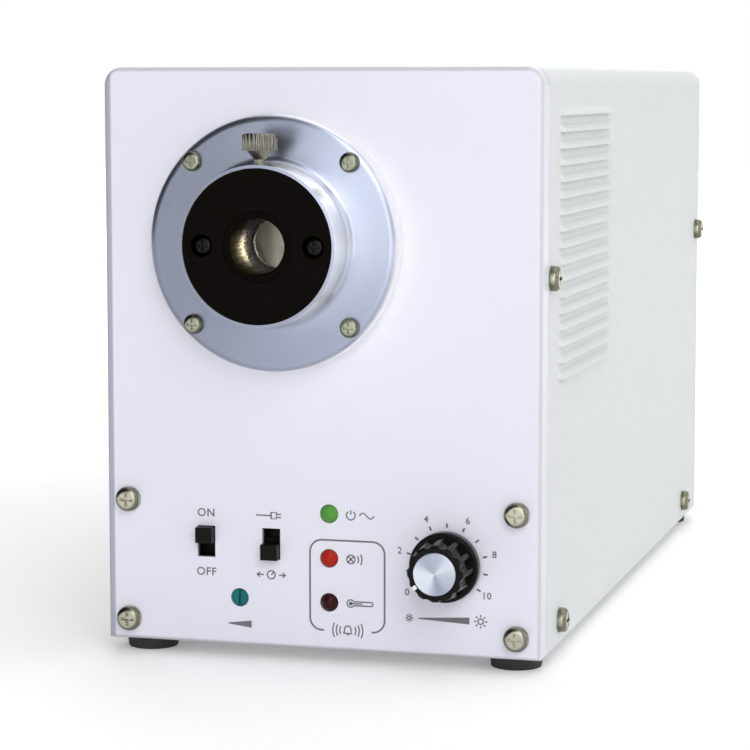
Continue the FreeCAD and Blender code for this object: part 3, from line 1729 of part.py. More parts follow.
def make_pointer():
    """The white line that is let into the knob's top, side and skirt."""
    skirt_front = "-knob_gap - knob_skirt_height"
    start = "cap_radius + knob_edge / 2"
    corners = [
        (start, "knob_front - pointer_rise"),
        ("knob_top - knob_edge", "knob_front - pointer_rise"),
        ("knob_top + pointer_rise", "knob_front + knob_edge"),
        ("knob_waist + pointer_rise", f"{skirt_front} - pointer_rise"),
        ("knob_skirt - knob_edge", f"{skirt_front} - pointer_rise"),
        ("knob_skirt - pointer_rise", f"{skirt_front} + pointer_depth"),
        ("knob_waist - pointer_depth", f"{skirt_front} + pointer_depth"),
        ("knob_top - pointer_depth", "knob_front + knob_edge + pointer_depth"),
        (start, "knob_front + pointer_depth"),
    ]
    spot = ("0", "-pointer_width / 2", "0")
    strip = prism("pointer_strip", "XZ", corners, "pointer_width", spot, put=move)
    link = copy(group("pointer_form", [strip]), KNOB, "+y", SIZES["pointer_angle"])
    return keep(group("knob_pointer", [link]), "knob_pointer")


# ---------------------------------------------------------------- rear fittings


def make_inlet():
    """A mains inlet with three blades."""
    x, z = "inlet_x", "rear_level"
    flange = block_facing(
        "inlet_flange", x, z, "inlet_flange_width", "inlet_flange_height", "case_depth", "inlet_face"
    )
    start = "case_depth - inlet_depth"
    block = block_facing("inlet_block", x, z, "inlet_width", "inlet_height", start, "inlet_face")
    half, rise = "(inlet_width / 2 - inlet_wall)", "(inlet_height / 2 - inlet_wall)"
    cavity = prism(
        "inlet_cavity",
        "XZ",
        [
            (f"-{half}", f"-{rise}"),
            (half, f"-{rise}"),
            (half, f"{rise} - inlet_corner"),
            (f"{half} - inlet_corner", rise),
            (f"inlet_corner - {half}", rise),
            (f"-{half}", f"{rise} - inlet_corner"),
        ],
        "inlet_cavity_depth + overrun",
        (x, "inlet_face - inlet_cavity_depth", z),
    )
    pins = []
    for across, up in (("-pin_spread", "-pin_rise"), ("pin_spread", "-pin_rise"), ("0", "pin_rise")):
        pins.append(
            block_facing(
                "inlet_pin",
                f"{x} + {across}",
                f"{z} + {up}",
                "pin_width",
                "pin_height",
                f"{start} - pin_tail",
                "inlet_face - pin_sink",
            )
        )
    depth = "inlet_flange_thickness + 2 * overrun"
    holes = holes_at("inlet_hole", SMALL_HOLE, depth, at_depth("case_depth - overrun", INLET_SCREWS))
    body = join("inlet_solid", [flange, block])
    keep(cut("power_inlet_body", body, [cavity] + holes + pins), "power_inlet_body")
    keep(group("power_inlet_pins", pins), "power_inlet_pins")


def make_rocker():
    x, z = "rocker_offset", "rear_level"
    face = "case_depth + bezel_thickness"
    bezel = block_facing(
        "rocker_bezel",
        x,
        z,
        "rocker_body_width + 2 * bezel_lip",
        "rocker_body_height + 2 * bezel_lip",
        "case_depth",
        face,
    )
    width, height = "rocker_body_width", "rocker_body_height"
    start = "case_depth - rocker_body_depth"
    block = block_facing("rocker_block", x, z, width, height, start, "case_depth")
    cavity = block_facing(
        "rocker_cavity",
        x,
        z,
        "rocker_cavity_width",
        "rocker_body_height - 2 * rocker_end_wall",
        "case_depth - rocker_cavity_depth",
        f"{face} + overrun",
    )
    pin_half = "(rocker_width / 2 + rocker_pin_length)"
    spot = (f"{x} - {pin_half} - fit_gap", "rocker_y", z)
    bore = rod("rocker_bore", "rocker_pin + fit_gap", f"2 * {pin_half} + 2 * fit_gap", spot, "+x")
    body = join("rocker_solid", [bezel, block])
    keep(cut("power_switch_frame", body, [cavity, bore]), "power_switch_frame")

    key = prism(
        "rocker_key",
        "YZ",
        [
            ("-rocker_root", "-rocker_root_reach"),
            ("rocker_shoulder", "-rocker_shoulder_reach"),
            ("rocker_crest", "-rocker_crest_reach"),
            ("rocker_dip", "0"),
            ("rocker_crest", "rocker_crest_reach"),
            ("rocker_shoulder", "rocker_shoulder_reach"),
            ("-rocker_root", "rocker_root_reach"),
        ],
        "rocker_width",
        ("-rocker_width / 2", "0", "0"),
        put=move,
    )
    spot = (f"-{pin_half}", "0", "0")
    pivot = rod("rocker_pivot", "rocker_pin", f"2 * {pin_half}", spot, "+x", put=move)
    link = document.addObject("App::Link", "rocker_rest")
    link.LinkedObject = join("rocker_form", [key, pivot])
    place(link, (x, "rocker_y", z), FreeCAD.Rotation(AXIS_X, -SIZES["rocker_tilt"]))
    keep(group("power_switch_key", [link]), "power_switch_key")


def make_connector():
    """The 15-way socket for remote control."""
    x, z = "connector_offset", "rear_level"
    tip = "case_depth + connector_rise"
    face = "case_depth + connector_sheet"
    plate = block_facing(
        "connector_plate", x, z, "connector_width", "connector_height", "case_depth", face
    )

    def trapezoid(name, inset, start, end):
        top, bottom = f"(connector_shell_top - {inset})", f"(connector_shell_bottom - {inset})"
        half = f"(connector_shell_half - {inset})"
        corners = [(f"-{bottom}", f"-{half}"), (bottom, f"-{half}"), (top, half), (f"-{top}", half)]
        return prism(name, "XZ", corners, f"({end}) - ({start})", (x, start, z))

    hood = trapezoid("connector_hood", "0", "case_depth", tip)
    wall = "connector_shell_wall"
    bore = trapezoid("connector_bore", wall, "case_depth - overrun", f"{tip} + overrun")
    depth, front = "connector_sheet + 2 * overrun", "case_depth - overrun"
    holes = holes_at("jack_hole", "jack_bore + hole_gap", depth, at_depth(front, JACK_SCREWS))
    shell = join("connector_metal", [plate, hood])
    keep(cut("remote_socket_shell", shell, [bore] + holes), "remote_socket_shell")

    end = f"{tip} - connector_core_sink"
    core = trapezoid("connector_core", wall, "case_depth - connector_depth", end)
    contacts = []
    count = int(SIZES["connector_contacts"])
    for level, amount in (("contact_row", count), ("-contact_row", count - 1)):
        for step in range(amount):
            across = f"{x} + ({step} - ({amount} - 1) / 2) * contact_pitch"
            spot = (across, f"{end} + overrun", f"{z} + {level}")
            contacts.append(rod("contact", "contact_radius", "contact_depth + overrun", spot, "-y"))
    keep(cut("remote_socket_insert", core, contacts), "remote_socket_insert")

    jack = document.addObject("Part::Prism", "jack_blank")
    bind(jack, Circumradius="jack_flat / cos(30)", Height="jack_length")
    jack.Polygon = 6
    stem_length = "connector_sheet + chassis_sheet + overrun"
    stem = rod("jack_stem", "jack_bore", stem_length, ("0", "0", f"-({stem_length})"), put=move)
    hole = rod("jack_thread", "jack_bore", "jack_length", ("0", "0", "jack_sink"), put=move)
    solid = cut("jack_screw", join("jack_solid", [jack, stem]), [hole])
    keep(group("jack_screws", copies(solid, at_depth(face, JACK_SCREWS), "+y")), "jack_screws")


# ---------------------------------------------------------------- build and write


def build():
    make_fasteners()
    make_front_panel()
    make_top_cover()
    make_chassis()
    make_rear_panel()
    make_feet()
    make_flange()
    make_insert()
    make_clamp()
    make_lens_tube()
    make_optics()
    make_heat_sink()
    make_stand()
    make_sensor()
    make_fan_frame()
    make_fan_rotor()
    make_guard()
    make_supply()
    make_control_board()
    make_slide_switch("led_switch", SLIDES["led_switch"], "+")
    make_slide_switch("mode_switch", SLIDES["mode_switch"], "-")
    make_trimmer()
    make_lamps()
    make_potentiometer()
    make_knob()
    make_inlet()
    make_rocker()
    make_connector()
    document.recompute()


def check():
    """Stop if any object failed, or a piece has no sound shape."""
    for item in document.Objects:
        if "Invalid" in item.State or "Error" in item.State:
            raise RuntimeError(f"{item.Name} failed: {item.State}")
    for item in NODES:
        if item.Shape.isNull() or not item.Shape.isValid() or not item.Shape.Solids:
            raise RuntimeError(f"{item.Label} has no sound shape")


def write():
    os.makedirs("parts", exist_ok=True)
    for item in NODES:
        item.Shape.exportStep(f"parts/{item.Label}.step")
        print(f"{item.Label}: {len(item.Shape.Solids)} solids, {item.Shape.Volume:.1f} mm3")
    print(f"{len(NODES)} pieces")


build()
check()
write()
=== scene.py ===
import json
import math

import bmesh
import bpy
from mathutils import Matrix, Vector


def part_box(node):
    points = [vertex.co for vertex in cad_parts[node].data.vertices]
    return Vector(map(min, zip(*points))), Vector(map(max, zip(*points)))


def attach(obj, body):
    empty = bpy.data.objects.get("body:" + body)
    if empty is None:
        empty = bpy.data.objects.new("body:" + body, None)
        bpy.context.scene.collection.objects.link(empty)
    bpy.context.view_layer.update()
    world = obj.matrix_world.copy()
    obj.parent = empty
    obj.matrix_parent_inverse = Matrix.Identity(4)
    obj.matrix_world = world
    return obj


# A bench light source for fibre optic light guides. Its pieces come from the frame, in metres, at
# their places; this script gives them their finish, rounds their sharp edges, adds the printed
# marks, and sets up the floor, the light and the camera.

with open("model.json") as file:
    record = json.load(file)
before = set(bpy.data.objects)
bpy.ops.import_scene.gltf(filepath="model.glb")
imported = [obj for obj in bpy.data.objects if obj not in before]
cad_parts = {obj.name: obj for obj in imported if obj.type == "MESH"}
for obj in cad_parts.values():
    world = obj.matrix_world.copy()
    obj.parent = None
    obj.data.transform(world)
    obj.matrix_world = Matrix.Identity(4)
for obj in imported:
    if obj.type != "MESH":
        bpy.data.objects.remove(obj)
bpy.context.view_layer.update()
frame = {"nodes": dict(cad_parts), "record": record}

MM = 0.001
NODES = frame["nodes"]


def middle(node):
    """The middle of a piece's box."""
    low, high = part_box(node)
    return (low + high) / 2


PANEL_LOW, PANEL_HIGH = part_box("front_panel")
FACE = PANEL_LOW.y
BASE = PANEL_LOW.z
OUTLET = middle("outlet_flange")
KNOB = middle("potentiometer_shaft")


# ---------------------------------------------------------------- materials

# Short names for the shader's sockets.
SOCKETS = {
    "coat": "Coat Weight",
    "clear": "Transmission Weight",
    "ior": "IOR",
    "scatter": "Subsurface Weight",
    "scatter_depth": "Subsurface Scale",
    "specular": "Specular IOR Level",
}


def material(name, color, metallic=0.0, roughness=0.5, **sockets):
    """A material with a Principled shader whose own sockets hold the plain values."""
    made = bpy.data.materials.new(name)
    made.use_nodes = True
    shader = made.node_tree.nodes["Principled BSDF"]
    shader.inputs["Base Color"].default_value = (*color, 1)
    shader.inputs["Metallic"].default_value = metallic
    shader.inputs["Roughness"].default_value = roughness
    for socket, value in sockets.items():
        shader.inputs[SOCKETS[socket]].default_value = value
    made.diffuse_color = (*color, 1)
    return made


def shader_of(made):
    """The material's Principled shader."""
    return made.node_tree.nodes["Principled BSDF"]


def color_of(made):
    """The output that feeds a material's colour so far."""
    return shader_of(made).inputs["Base Color"].links[0].from_socket


def node(made, kind, inputs=(), **properties):
    """A shader node of a material or a world, with its inputs set or linked."""
    item = made.node_tree.nodes.new("ShaderNode" + kind)
    for name, value in properties.items():
        setattr(item, name, value)
    for name, value in dict(inputs).items():
        if isinstance(value, bpy.types.NodeSocket):
            made.node_tree.links.new(value, item.inputs[name])
        else:
            item.inputs[name].default_value = value
    return item


def feed(made, socket, output):
    """Link an output to a socket of the material's shader."""
    made.node_tree.links.new(output, shader_of(made).inputs[socket])


def place(made, stretch=(1, 1, 1)):
    """Coordinates in metres, stretched along each axis."""
    source = node(made, "TexCoord").outputs["Object"]
    return node(made, "Mapping", {"Vector": source, "Scale": stretch}).outputs["Vector"]


def spot_of(made):
    """A surface point's X, Y and Z, in metres."""
    source = node(made, "TexCoord").outputs["Object"]
    return node(made, "SeparateXYZ", {"Vector": source}).outputs


def normal_of(made):
    """X, Y and Z of the direction that the surface faces."""
    source = node(made, "NewGeometry").outputs["Normal"]
    return node(made, "SeparateXYZ", {"Vector": source}).outputs


def grain(made, size, detail=3, roughness=0.5, stretch=(1, 1, 1)):
    """Noise whose blobs are about as large as the size given, in metres."""
    inputs = {
        "Vector": place(made, stretch),
        "Scale": 1 / size,
        "Detail": detail,
        "Roughness": roughness,
    }
    return node(made, "TexNoise", inputs).outputs["Fac"]


def between(made, factor, low, high, start=0.3, end=0.7):
    """A number that goes from low to high as the factor goes from start to end."""
    inputs = {
        "Value": factor,
        "From Min": start,
        "From Max": end,
        "To Min": low,
        "To Max": high,
    }
    return node(made, "MapRange", inputs).outputs["Result"]


# A Mix node's inputs and outputs share their names, so they go by their numbers.
MIX_FACTOR, MIX_COLORS, MIX_COLOR_RESULT = 0, (6, 7), 2
MIX_NUMBERS, MIX_NUMBER_RESULT = (2, 3), 0


def blend_of(made, factor, dark, light):
    """A colour that goes from dark to light with the factor; each colour may be a socket."""
    mix = node(made, "Mix", {MIX_FACTOR: factor}, data_type="RGBA")
    for index, value in zip(MIX_COLORS, (dark, light)):
        if isinstance(value, bpy.types.NodeSocket):
            made.node_tree.links.new(value, mix.inputs[index])
        else:
            mix.inputs[index].default_value = (*value, 1)
    return mix.outputs[MIX_COLOR_RESULT]


def calculate(made, operation, first, second=0.0):
    """A Math node's result; each operand is a number or a socket."""
    item = node(made, "Math", operation=operation)
    for index, value in enumerate((first, second)):
        if isinstance(value, bpy.types.NodeSocket):
            made.node_tree.links.new(value, item.inputs[index])
        else:
            item.inputs[index].default_value = value
    return item.outputs[0]


def raise_by(made, height, depth):
    """Bump of a real depth in metres."""
    bump = node(made, "Bump", {"Height": height, "Distance": depth, "Strength": 1.0})
    feed(made, "Normal", bump.outputs["Normal"])


def away_from(made, centre):
    """How far a surface point lies to the right of a centre and above it, in metres."""
    spot = spot_of(made)
    across = calculate(made, "SUBTRACT", spot["X"], centre.x)
    up = calculate(made, "SUBTRACT", spot["Z"], centre.z)
    return across, up


def radius_from(made, centre):
    """Distance from an axis that runs along Y through a centre, in metres."""
    squares = [calculate(made, "MULTIPLY", side, side) for side in away_from(made, centre)]
    return calculate(made, "SQRT", calculate(made, "ADD", *squares))


def angle_about(made, centre):
    """Angle about an axis along Y, in radians, from +X towards +Z."""
    across, up = away_from(made, centre)
    return calculate(made, "ARCTAN2", up, across)


def sectors(made, centre, waves_of):
    """About 0 to 1 around an axis along Y, as a sum of waves.

    Each wave has how many crests it has, the degrees that one crest points at, and its share.
    """
    angle = angle_about(made, centre)
    total = 0.5
    for count, toward, share in waves_of:
        turned = calculate(made, "SUBTRACT", angle, math.radians(toward))
        wave = calculate(made, "COSINE", calculate(made, "MULTIPLY", turned, count))
        total = calculate(made, "ADD", calculate(made, "MULTIPLY", wave, share / 2), total)
    return total


def along_axis(made, *axes):
    """1 where the surface faces straight along one of the axes, either way, and 0 across them."""
    normal = normal_of(made)
    most, *others = [calculate(made, "ABSOLUTE", normal[axis]) for axis in axes]
    for side in others:
        most = calculate(made, "MAXIMUM", most, side)
    return most


def painted(name, color, shade, grain_size, depth, low, high, **sockets):
    """Enamel or powder coat: a fine skin, faint clouds of colour and of gloss."""
    made = material(name, color, roughness=(low + high) / 2, **sockets)
    clouds = grain(made, 35 * MM, detail=2)
    feed(made, "Base Color", blend_of(made, clouds, shade, color))
    feed(made, "Roughness", between(made, grain(made, 6 * MM), low, high))
    raise_by(made, grain(made, grain_size, detail=2), depth)
    return made


# Bands of painted shade along the panel's edges, in metres from its left and from its top edge.
LEFT_SHADE_BAND = (1.9 * MM, 2.3 * MM)
TOP_SHADE_BAND = (0.9 * MM, 1.3 * MM)


def front_enamel(name, color, shade, lip_shade, fold_shade, left_fold_shade):
    """The front panel's enamel with painted shade: greyer on its sideways lip and over the fold.

    Its painted shade is darkest along the left edge, and a grey band of it runs along the top edge.
    """
    made = painted(name, color, shade, 1.6 * MM, 0.006 * MM, 0.30, 0.42)
    flat = color_of(made)
    straight = along_axis(made, "Y")
    # Painted shade: faces that turn sideways take the lip's grey.
    sides = blend_of(made, between(made, straight, 1.0, 0.0, 0.5, 0.97), flat, lip_shade)
    # Largest on the fold, halfway between facing forward and facing sideways.
    turn = calculate(made, "MULTIPLY", straight, calculate(made, "SUBTRACT", 1.0, straight))
    # Painted shade on the fold, darker where it faces left.
    side = between(made, normal_of(made)["X"], 0.0, 1.0, -0.6, 0.0)
    edge = blend_of(made, side, left_fold_shade, fold_shade)
    curved = blend_of(made, between(made, turn, 0.0, 1.0, 0.02, 0.2), sides, edge)
    spot = spot_of(made)
    from_left = calculate(made, "SUBTRACT", spot["X"], PANEL_LOW.x)
    from_top = calculate(made, "SUBTRACT", PANEL_HIGH.z, spot["Z"])
    # Painted shade in bands along the top and the left edge.
    topped = blend_of(made, between(made, from_top, 1.0, 0.0, *TOP_SHADE_BAND), curved, fold_shade)
    rimmed = blend_of(made, between(made, from_left, 1.0, 0.0, *LEFT_SHADE_BAND), topped, left_fold_shade)
    feed(made, "Base Color", rimmed)
    return made


LATHE_PITCH = 1.6 * MM
AROUND = 0.25  # turns the stretched highlight across the lathe's marks


def metal(name, color, shade, low, high, scratch=(1, 1, 1), size=1.2 * MM, depth=0.01 * MM):
    """Bare metal with fine scratches along one way."""
    made = material(name, color, metallic=1.0)
    streaks = grain(made, size, detail=4, roughness=0.65, stretch=scratch)
    feed(made, "Base Color", blend_of(made, streaks, shade, color))
    feed(made, "Roughness", between(made, streaks, low, high))
    raise_by(made, streaks, depth)
    return made


def turned_metal(name, color, dark, wall, centre, waves_of, stretch, low, high, depth=0.003 * MM):
    """Metal faced on a lathe about an axis along Y: ring-shaped marks, sectors of painted
    reflection.

    Its walls along the axis have a plain colour.
    """
    made = material(name, color, metallic=1.0)
    radius = radius_from(made, centre)
    rings = node(made, "CombineXYZ", {"X": radius}).outputs["Vector"]
    bands = node(made, "TexNoise", {"Vector": rings, "Scale": 1 / LATHE_PITCH, "Detail": 2})
    clouds = grain(made, 14 * MM, detail=2)
    both = calculate(made, "MULTIPLY", calculate(made, "ADD", bands.outputs["Fac"], clouds), 0.5)
    uneven = between(made, both, -0.06, 0.06)
    # Painted reflection: the face is lighter or darker by its angle about the axis.
    shine = calculate(made, "ADD", sectors(made, centre, waves_of), uneven)
    face = blend_of(made, shine, dark, color)
    is_face = between(made, along_axis(made, "Y"), 0, 1, 0.3, 0.8)
    feed(made, "Base Color", blend_of(made, is_face, wall, face))
    feed(made, "Roughness", between(made, both, low, high))
    raise_by(made, bands.outputs["Fac"], depth)
    around = node(made, "Tangent", direction_type="RADIAL", axis="Y").outputs["Tangent"]
    feed(made, "Tangent", around)
    shader_of(made).inputs["Anisotropic"].default_value = stretch
    shader_of(made).inputs["Anisotropic Rotation"].default_value = AROUND
    return made


PALE_PART = 1.4  # how much lighter plastic is in its pale clouds


def plastic(name, color, low, high, grain_size=0.35 * MM, depth=0.012 * MM, **sockets):
    """Moulded plastic or rubber with an eroded skin."""
    made = material(name, color, **sockets)
    pale = tuple(min(1.0, part * PALE_PART) for part in color)
    feed(made, "Base Color", blend_of(made, grain(made, 8 * MM, detail=2), color, pale))
    feed(made, "Roughness", between(made, grain(made, 3 * MM), low, high))
    raise_by(made, grain(made, grain_size, detail=2), depth)
    return made


LENS_SHADE = (-4.2 * MM, -1.6 * MM)  # where the lens goes from shaded to clear


def lens_glass():
    """Glass that lets the light through to what lies behind it, with painted shade on its left."""
    made = material("lens_glass", (0.94, 0.97, 0.98), roughness=0.02, clear=1.0, ior=1.52)
    feed(made, "Roughness", between(made, grain(made, 5 * MM), 0.0, 0.04))
    # Painted shade: the glass is greyer on its left half, in place of a darker reflection there.
    across = calculate(made, "SUBTRACT", spot_of(made)["X"], OUTLET.x)
    bright = between(made, across, 0.0, 1.0, *LENS_SHADE)
    feed(made, "Base Color", blend_of(made, bright, (0.52, 0.50, 0.47), (1.0, 1.0, 0.98)))
    tree = made.node_tree
    path = node(made, "LightPath")
    passing = node(made, "BsdfTransparent", {"Color": (0.92, 0.94, 0.94, 1)})
    both = node(made, "MixShader")
    tree.links.new(path.outputs["Is Shadow Ray"], both.inputs[0])
    tree.links.new(shader_of(made).outputs[0], both.inputs[1])
    tree.links.new(passing.outputs[0], both.inputs[2])
    tree.links.new(both.outputs[0], tree.nodes["Material Output"].inputs["Surface"])
    return made


CHIP_PITCH = 1.6 * MM
LAMP_GLOW = 14  # enough to light the bore


def phosphor():
    """The yellow face of the light source, with its chips' faint grid and a glow of painted light.
    """
    made = material("led_phosphor", (0.85, 0.76, 0.22), roughness=0.35, coat=0.6)
    spot = spot_of(made)
    lines = []
    for axis in ("X", "Z"):
        turns = calculate(made, "MULTIPLY", spot[axis], 2 * math.pi / CHIP_PITCH)
        lines.append(calculate(made, "SINE", turns))
    cells = calculate(made, "MULTIPLY", *lines)
    feed(made, "Base Color", blend_of(made, cells, (0.80, 0.66, 0.12), (0.90, 0.82, 0.30)))
    raise_by(made, cells, 0.05 * MM)
    # Painted light: the glow brightens the bore and the lens.
    shader_of(made).inputs["Emission Color"].default_value = (1, 0.93, 0.74, 1)
    shader_of(made).inputs["Emission Strength"].default_value = LAMP_GLOW
    return made


TRACK_PITCH = 5 * MM
PAD_PITCH = 2.54 * MM


def circuit_board():
    """Green solder mask over a net of tracks, with scattered tinned pads."""
    made = material("solder_mask", (0.03, 0.20, 0.09), roughness=0.35, coat=0.4)
    cells = node(
        made,
        "TexVoronoi",
        {"Vector": place(made), "Scale": 1 / TRACK_PITCH, "Randomness": 0.35},
        distance="MANHATTAN",
        feature="DISTANCE_TO_EDGE",
    )
    track = between(made, cells.outputs["Distance"], 1.0, 0.0, 0.04, 0.09)
    dots = node(
        made, "TexVoronoi", {"Vector": place(made), "Scale": 1 / PAD_PITCH, "Randomness": 0.2}
    )
    pad = between(made, dots.outputs["Distance"], 1.0, 0.0, 0.20, 0.24)
    mask = blend_of(made, track, (0.02, 0.14, 0.06), (0.045, 0.27, 0.12))
    feed(made, "Base Color", blend_of(made, pad, mask, (0.55, 0.55, 0.50)))
    feed(made, "Metallic", calculate(made, "MULTIPLY", pad, 0.9))
    raise_by(made, track, 0.03 * MM)
    return made


def tinted_lamp(name, color, deep):
    """Tinted epoxy with a darker core."""
    made = material(
        name, color, roughness=0.22, coat=0.03, specular=0.10, scatter=0.35, scatter_depth=0.8 * MM
    )
    feed(made, "Base Color", blend_of(made, grain(made, 2.2 * MM, detail=1), deep, color))
    feed(made, "Roughness", between(made, grain(made, 1.5 * MM), 0.16, 0.28))
    return made


def screw_metal(name, color, shade, shaded_slope):
    """Plated steel with a painted highlight on its crown and painted shade on its slopes and
    recess.
    """
    made = metal(name, color, shade, 0.20, 0.28, size=3 * MM, depth=0.002 * MM)
    crown = color_of(made)
    straight = between(made, along_axis(made, "X", "Y", "Z"), 0.0, 1.0, 0.88, 1.0)
    # Painted light: faces along an axis keep the lighter crown colour, the others the shaded slope
    # colour.
    feed(made, "Base Color", blend_of(made, straight, shaded_slope, crown))
    return made


MATERIALS = {
    "cover_paint": painted(
        "cover_coat", (0.705, 0.735, 0.74), (0.685, 0.715, 0.72), 0.5 * MM, 0.018 * MM, 0.45, 0.60
    ),
    "panel_paint": front_enamel(
        "panel_enamel",
        (0.862, 0.866, 0.968),
        (0.842, 0.846, 0.953),
        # greys of painted shade for the lip, the fold and the left edge
        lip_shade=(0.74, 0.75, 0.82),
        fold_shade=(0.62, 0.62, 0.66),
        left_fold_shade=(0.46, 0.455, 0.57),
    ),
    "chassis_steel": metal(
        "zinc_steel", (0.62, 0.64, 0.66), (0.50, 0.52, 0.54), 0.30, 0.48, scratch=(0.15, 1, 1)
    ),
    "stainless_steel": screw_metal(
        "screw_steel", (0.52, 0.51, 0.41), (0.44, 0.43, 0.345), (0.19, 0.187, 0.14)
    ),
    "black_steel": metal(
        "blackened_steel", (0.022, 0.020, 0.018), (0.010, 0.010, 0.009), 0.20, 0.34
    ),
    "machined_aluminium": turned_metal(
        "anodised_aluminium",
        (0.46, 0.495, 0.63),
        dark=(0.20, 0.218, 0.275),
        # a painted highlight on the side walls
        wall=(0.98, 0.97, 0.94),
        centre=OUTLET,
        # sectors of painted reflection about the outlet
        waves_of=[(1, 20, 0.8), (2, 90, 0.15), (3, 40, 0.10)],
        stretch=0.6,
        low=0.26,
        high=0.38,
    ),
    "raw_aluminium": metal(
        "extruded_aluminium",
        (0.70, 0.71, 0.72),
        (0.56, 0.57, 0.58),
        0.30,
        0.46,
        scratch=(0.1, 1, 1),
    ),
    "black_anodised": plastic(
        "black_anodising", (0.0022, 0.0014, 0.0007), 0.42, 0.55, 0.2 * MM, specular=0.04
    ),
    "brass_plated": metal(
        "warm_nickel", (0.74, 0.71, 0.63), (0.60, 0.57, 0.48), 0.20, 0.34, scratch=(1, 1, 0.2)
    ),
    "black_rubber": plastic("black_rubber", (0.022, 0.024, 0.025), 0.62, 0.8, 0.6 * MM, 0.03 * MM),
    "black_plastic": plastic("black_plastic", (0.005, 0.0045, 0.004), 0.28, 0.40, specular=0.10),
    "grey_plastic": plastic("grey_plastic", (0.30, 0.31, 0.32), 0.35, 0.5),
    "nylon": plastic("nylon", (0.80, 0.78, 0.70), 0.35, 0.5, scatter=0.2),
    "blue_plastic": plastic("teal_plastic", (0.006, 0.125, 0.137), 0.28, 0.4, specular=0.2),
    "white_inlay": plastic("white_filler", (0.86, 0.86, 0.84), 0.4, 0.55),
    "spun_aluminium": turned_metal(
        "spun_aluminium",
        (0.70, 0.74, 0.80),
        dark=(0.33, 0.345, 0.48),
        wall=(0.60, 0.62, 0.66),
        centre=KNOB,
        # sectors of painted reflection about the knob
        waves_of=[(2, 12, 0.6), (1, 195, 0.3), (5, 30, 0.2)],
        stretch=0.8,
        low=0.20,
        high=0.30,
    ),
    "lens_glass": lens_glass(),
    "led_phosphor": phosphor(),
    "green_lamp": tinted_lamp("green_lamp", (0.12, 0.39, 0.07), (0.09, 0.31, 0.05)),
    "red_lamp": tinted_lamp("red_lamp", (0.52, 0.025, 0.010), (0.38, 0.018, 0.008)),
    "dark_red_lamp": tinted_lamp("dark_red_lamp", (0.045, 0.008, 0.01), (0.025, 0.004, 0.006)),
    "circuit_board": circuit_board(),
    "ferrite": plastic("taped_winding", (0.10, 0.095, 0.08), 0.5, 0.7),
    "capacitor_sleeve": plastic("sleeve", (0.02, 0.03, 0.09), 0.25, 0.35),
}
INK = plastic("grey_ink", (0.13, 0.135, 0.155), 0.5, 0.65, 0.2 * MM, 0.004 * MM)
GLOSSY_BLACK = plastic(
    "glossy_black", (0.004, 0.0035, 0.003), 0.10, 0.20, depth=0.004 * MM, specular=0.12
)


BORE_EDGE = (7.53 * MM, 7.6 * MM)  # just outside the bore's radius
GLEAM_SIDE = 205  # degrees, low and to the left


def sleeve_black():
    """Black anodising, with a painted yellow reflection of the lamp low in the bore."""
    made = plastic(
        "sleeve_black", (0.0022, 0.0014, 0.0007), 0.42, 0.55, depth=0.002 * MM, specular=0.03
    )
    black = color_of(made)
    # Painted reflection: a yellow metal patch low on the bore's wall.
    inside = between(made, radius_from(made, OUTLET), 1.0, 0.0, *BORE_EDGE)
    low = between(made, sectors(made, OUTLET, [(1, GLEAM_SIDE, 1.0)]), 0.0, 1.0, 0.72, 0.97)
    painted_gleam = calculate(made, "MULTIPLY", inside, low)
    feed(made, "Base Color", blend_of(made, painted_gleam, black, (0.09, 0.068, 0.005)))
    feed(made, "Metallic", painted_gleam)
    feed(made, "Roughness", between(made, inside, 0.48, 0.20, 0.0, 1.0))
    return made


# Painted shade on the left of the lamp's board.
BOARD_SHADE_SPAN = (-10.1 * MM, -9.0 * MM)  # where the lamp's board goes from dark to white


def lamp_board():
    """A white board whose left rim is dark with painted shade."""
    made = plastic("white_mask", (0.92, 0.92, 0.90), 0.30, 0.45)
    white = color_of(made)
    across = calculate(made, "SUBTRACT", spot_of(made)["X"], OUTLET.x)
    shaded_left = between(made, across, 0.0, 1.0, *BOARD_SHADE_SPAN)
    # Painted shade: dark to the left, white to the right.
    feed(made, "Base Color", blend_of(made, shaded_left, (0.16, 0.15, 0.14), white))
    return made


# Pieces that are darker or shinier than the others of their material.
OWN_FINISH = {
    "light_knob": GLOSSY_BLACK,
    "guide_sleeve": sleeve_black(),
    "led_board": lamp_board(),
    "lens_barrel": metal(
        "bored_aluminium", (0.155, 0.143, 0.153), (0.10, 0.09, 0.095), 0.20, 0.34, (1, 3, 1)
    ),
    "flange_screws": screw_metal(
        "dull_screw_steel", (0.335, 0.345, 0.27), (0.27, 0.28, 0.215), (0.13, 0.135, 0.10)
    ),
    "thumb_screw": metal(
        "burnished_nickel", (0.26, 0.25, 0.215), (0.11, 0.105, 0.09), 0.20, 0.32, (1, 1, 0.2)
    ),
}


# ---------------------------------------------------------------- the pieces of the frame

SEAM = 0.001 * MM  # points this close are welded
SHARP = 35  # degrees between faces, from which an edge is rounded

# Width of each piece's rounded edges, in millimetres.
EDGES = {
    "front_panel": 0.12,
    "rear_panel": 0.10,
    "outlet_flange": 0.15,
    "outlet_insert": 0.12,
    "guide_sleeve": 0.10,
    "case_screws": 0.10,
    "flange_screws": 0.08,
    "insert_screws": 0.08,
    "fan_screws": 0.08,
    "small_screws": 0.08,
    "thumb_screw": 0.06,
    "light_knob": 0.18,
    "knob_cap": 0.08,
    "feet": 0.35,
    "led_switch_lever": 0.15,
    "mode_switch_lever": 0.15,
    "power_switch_frame": 0.25,
    "power_switch_key": 0.25,
    "power_inlet_body": 0.35,
    "power_inlet_pins": 0.25,
    "remote_socket_shell": 0.20,
    "remote_socket_insert": 0.12,
    "jack_screws": 0.15,
    "fan_frame": 0.30,
    "fan_rotor": 0.25,
    "heat_sink": 0.20,
    "bottom_chassis": 0.10,
    "heat_sink_stand": 0.15,
}


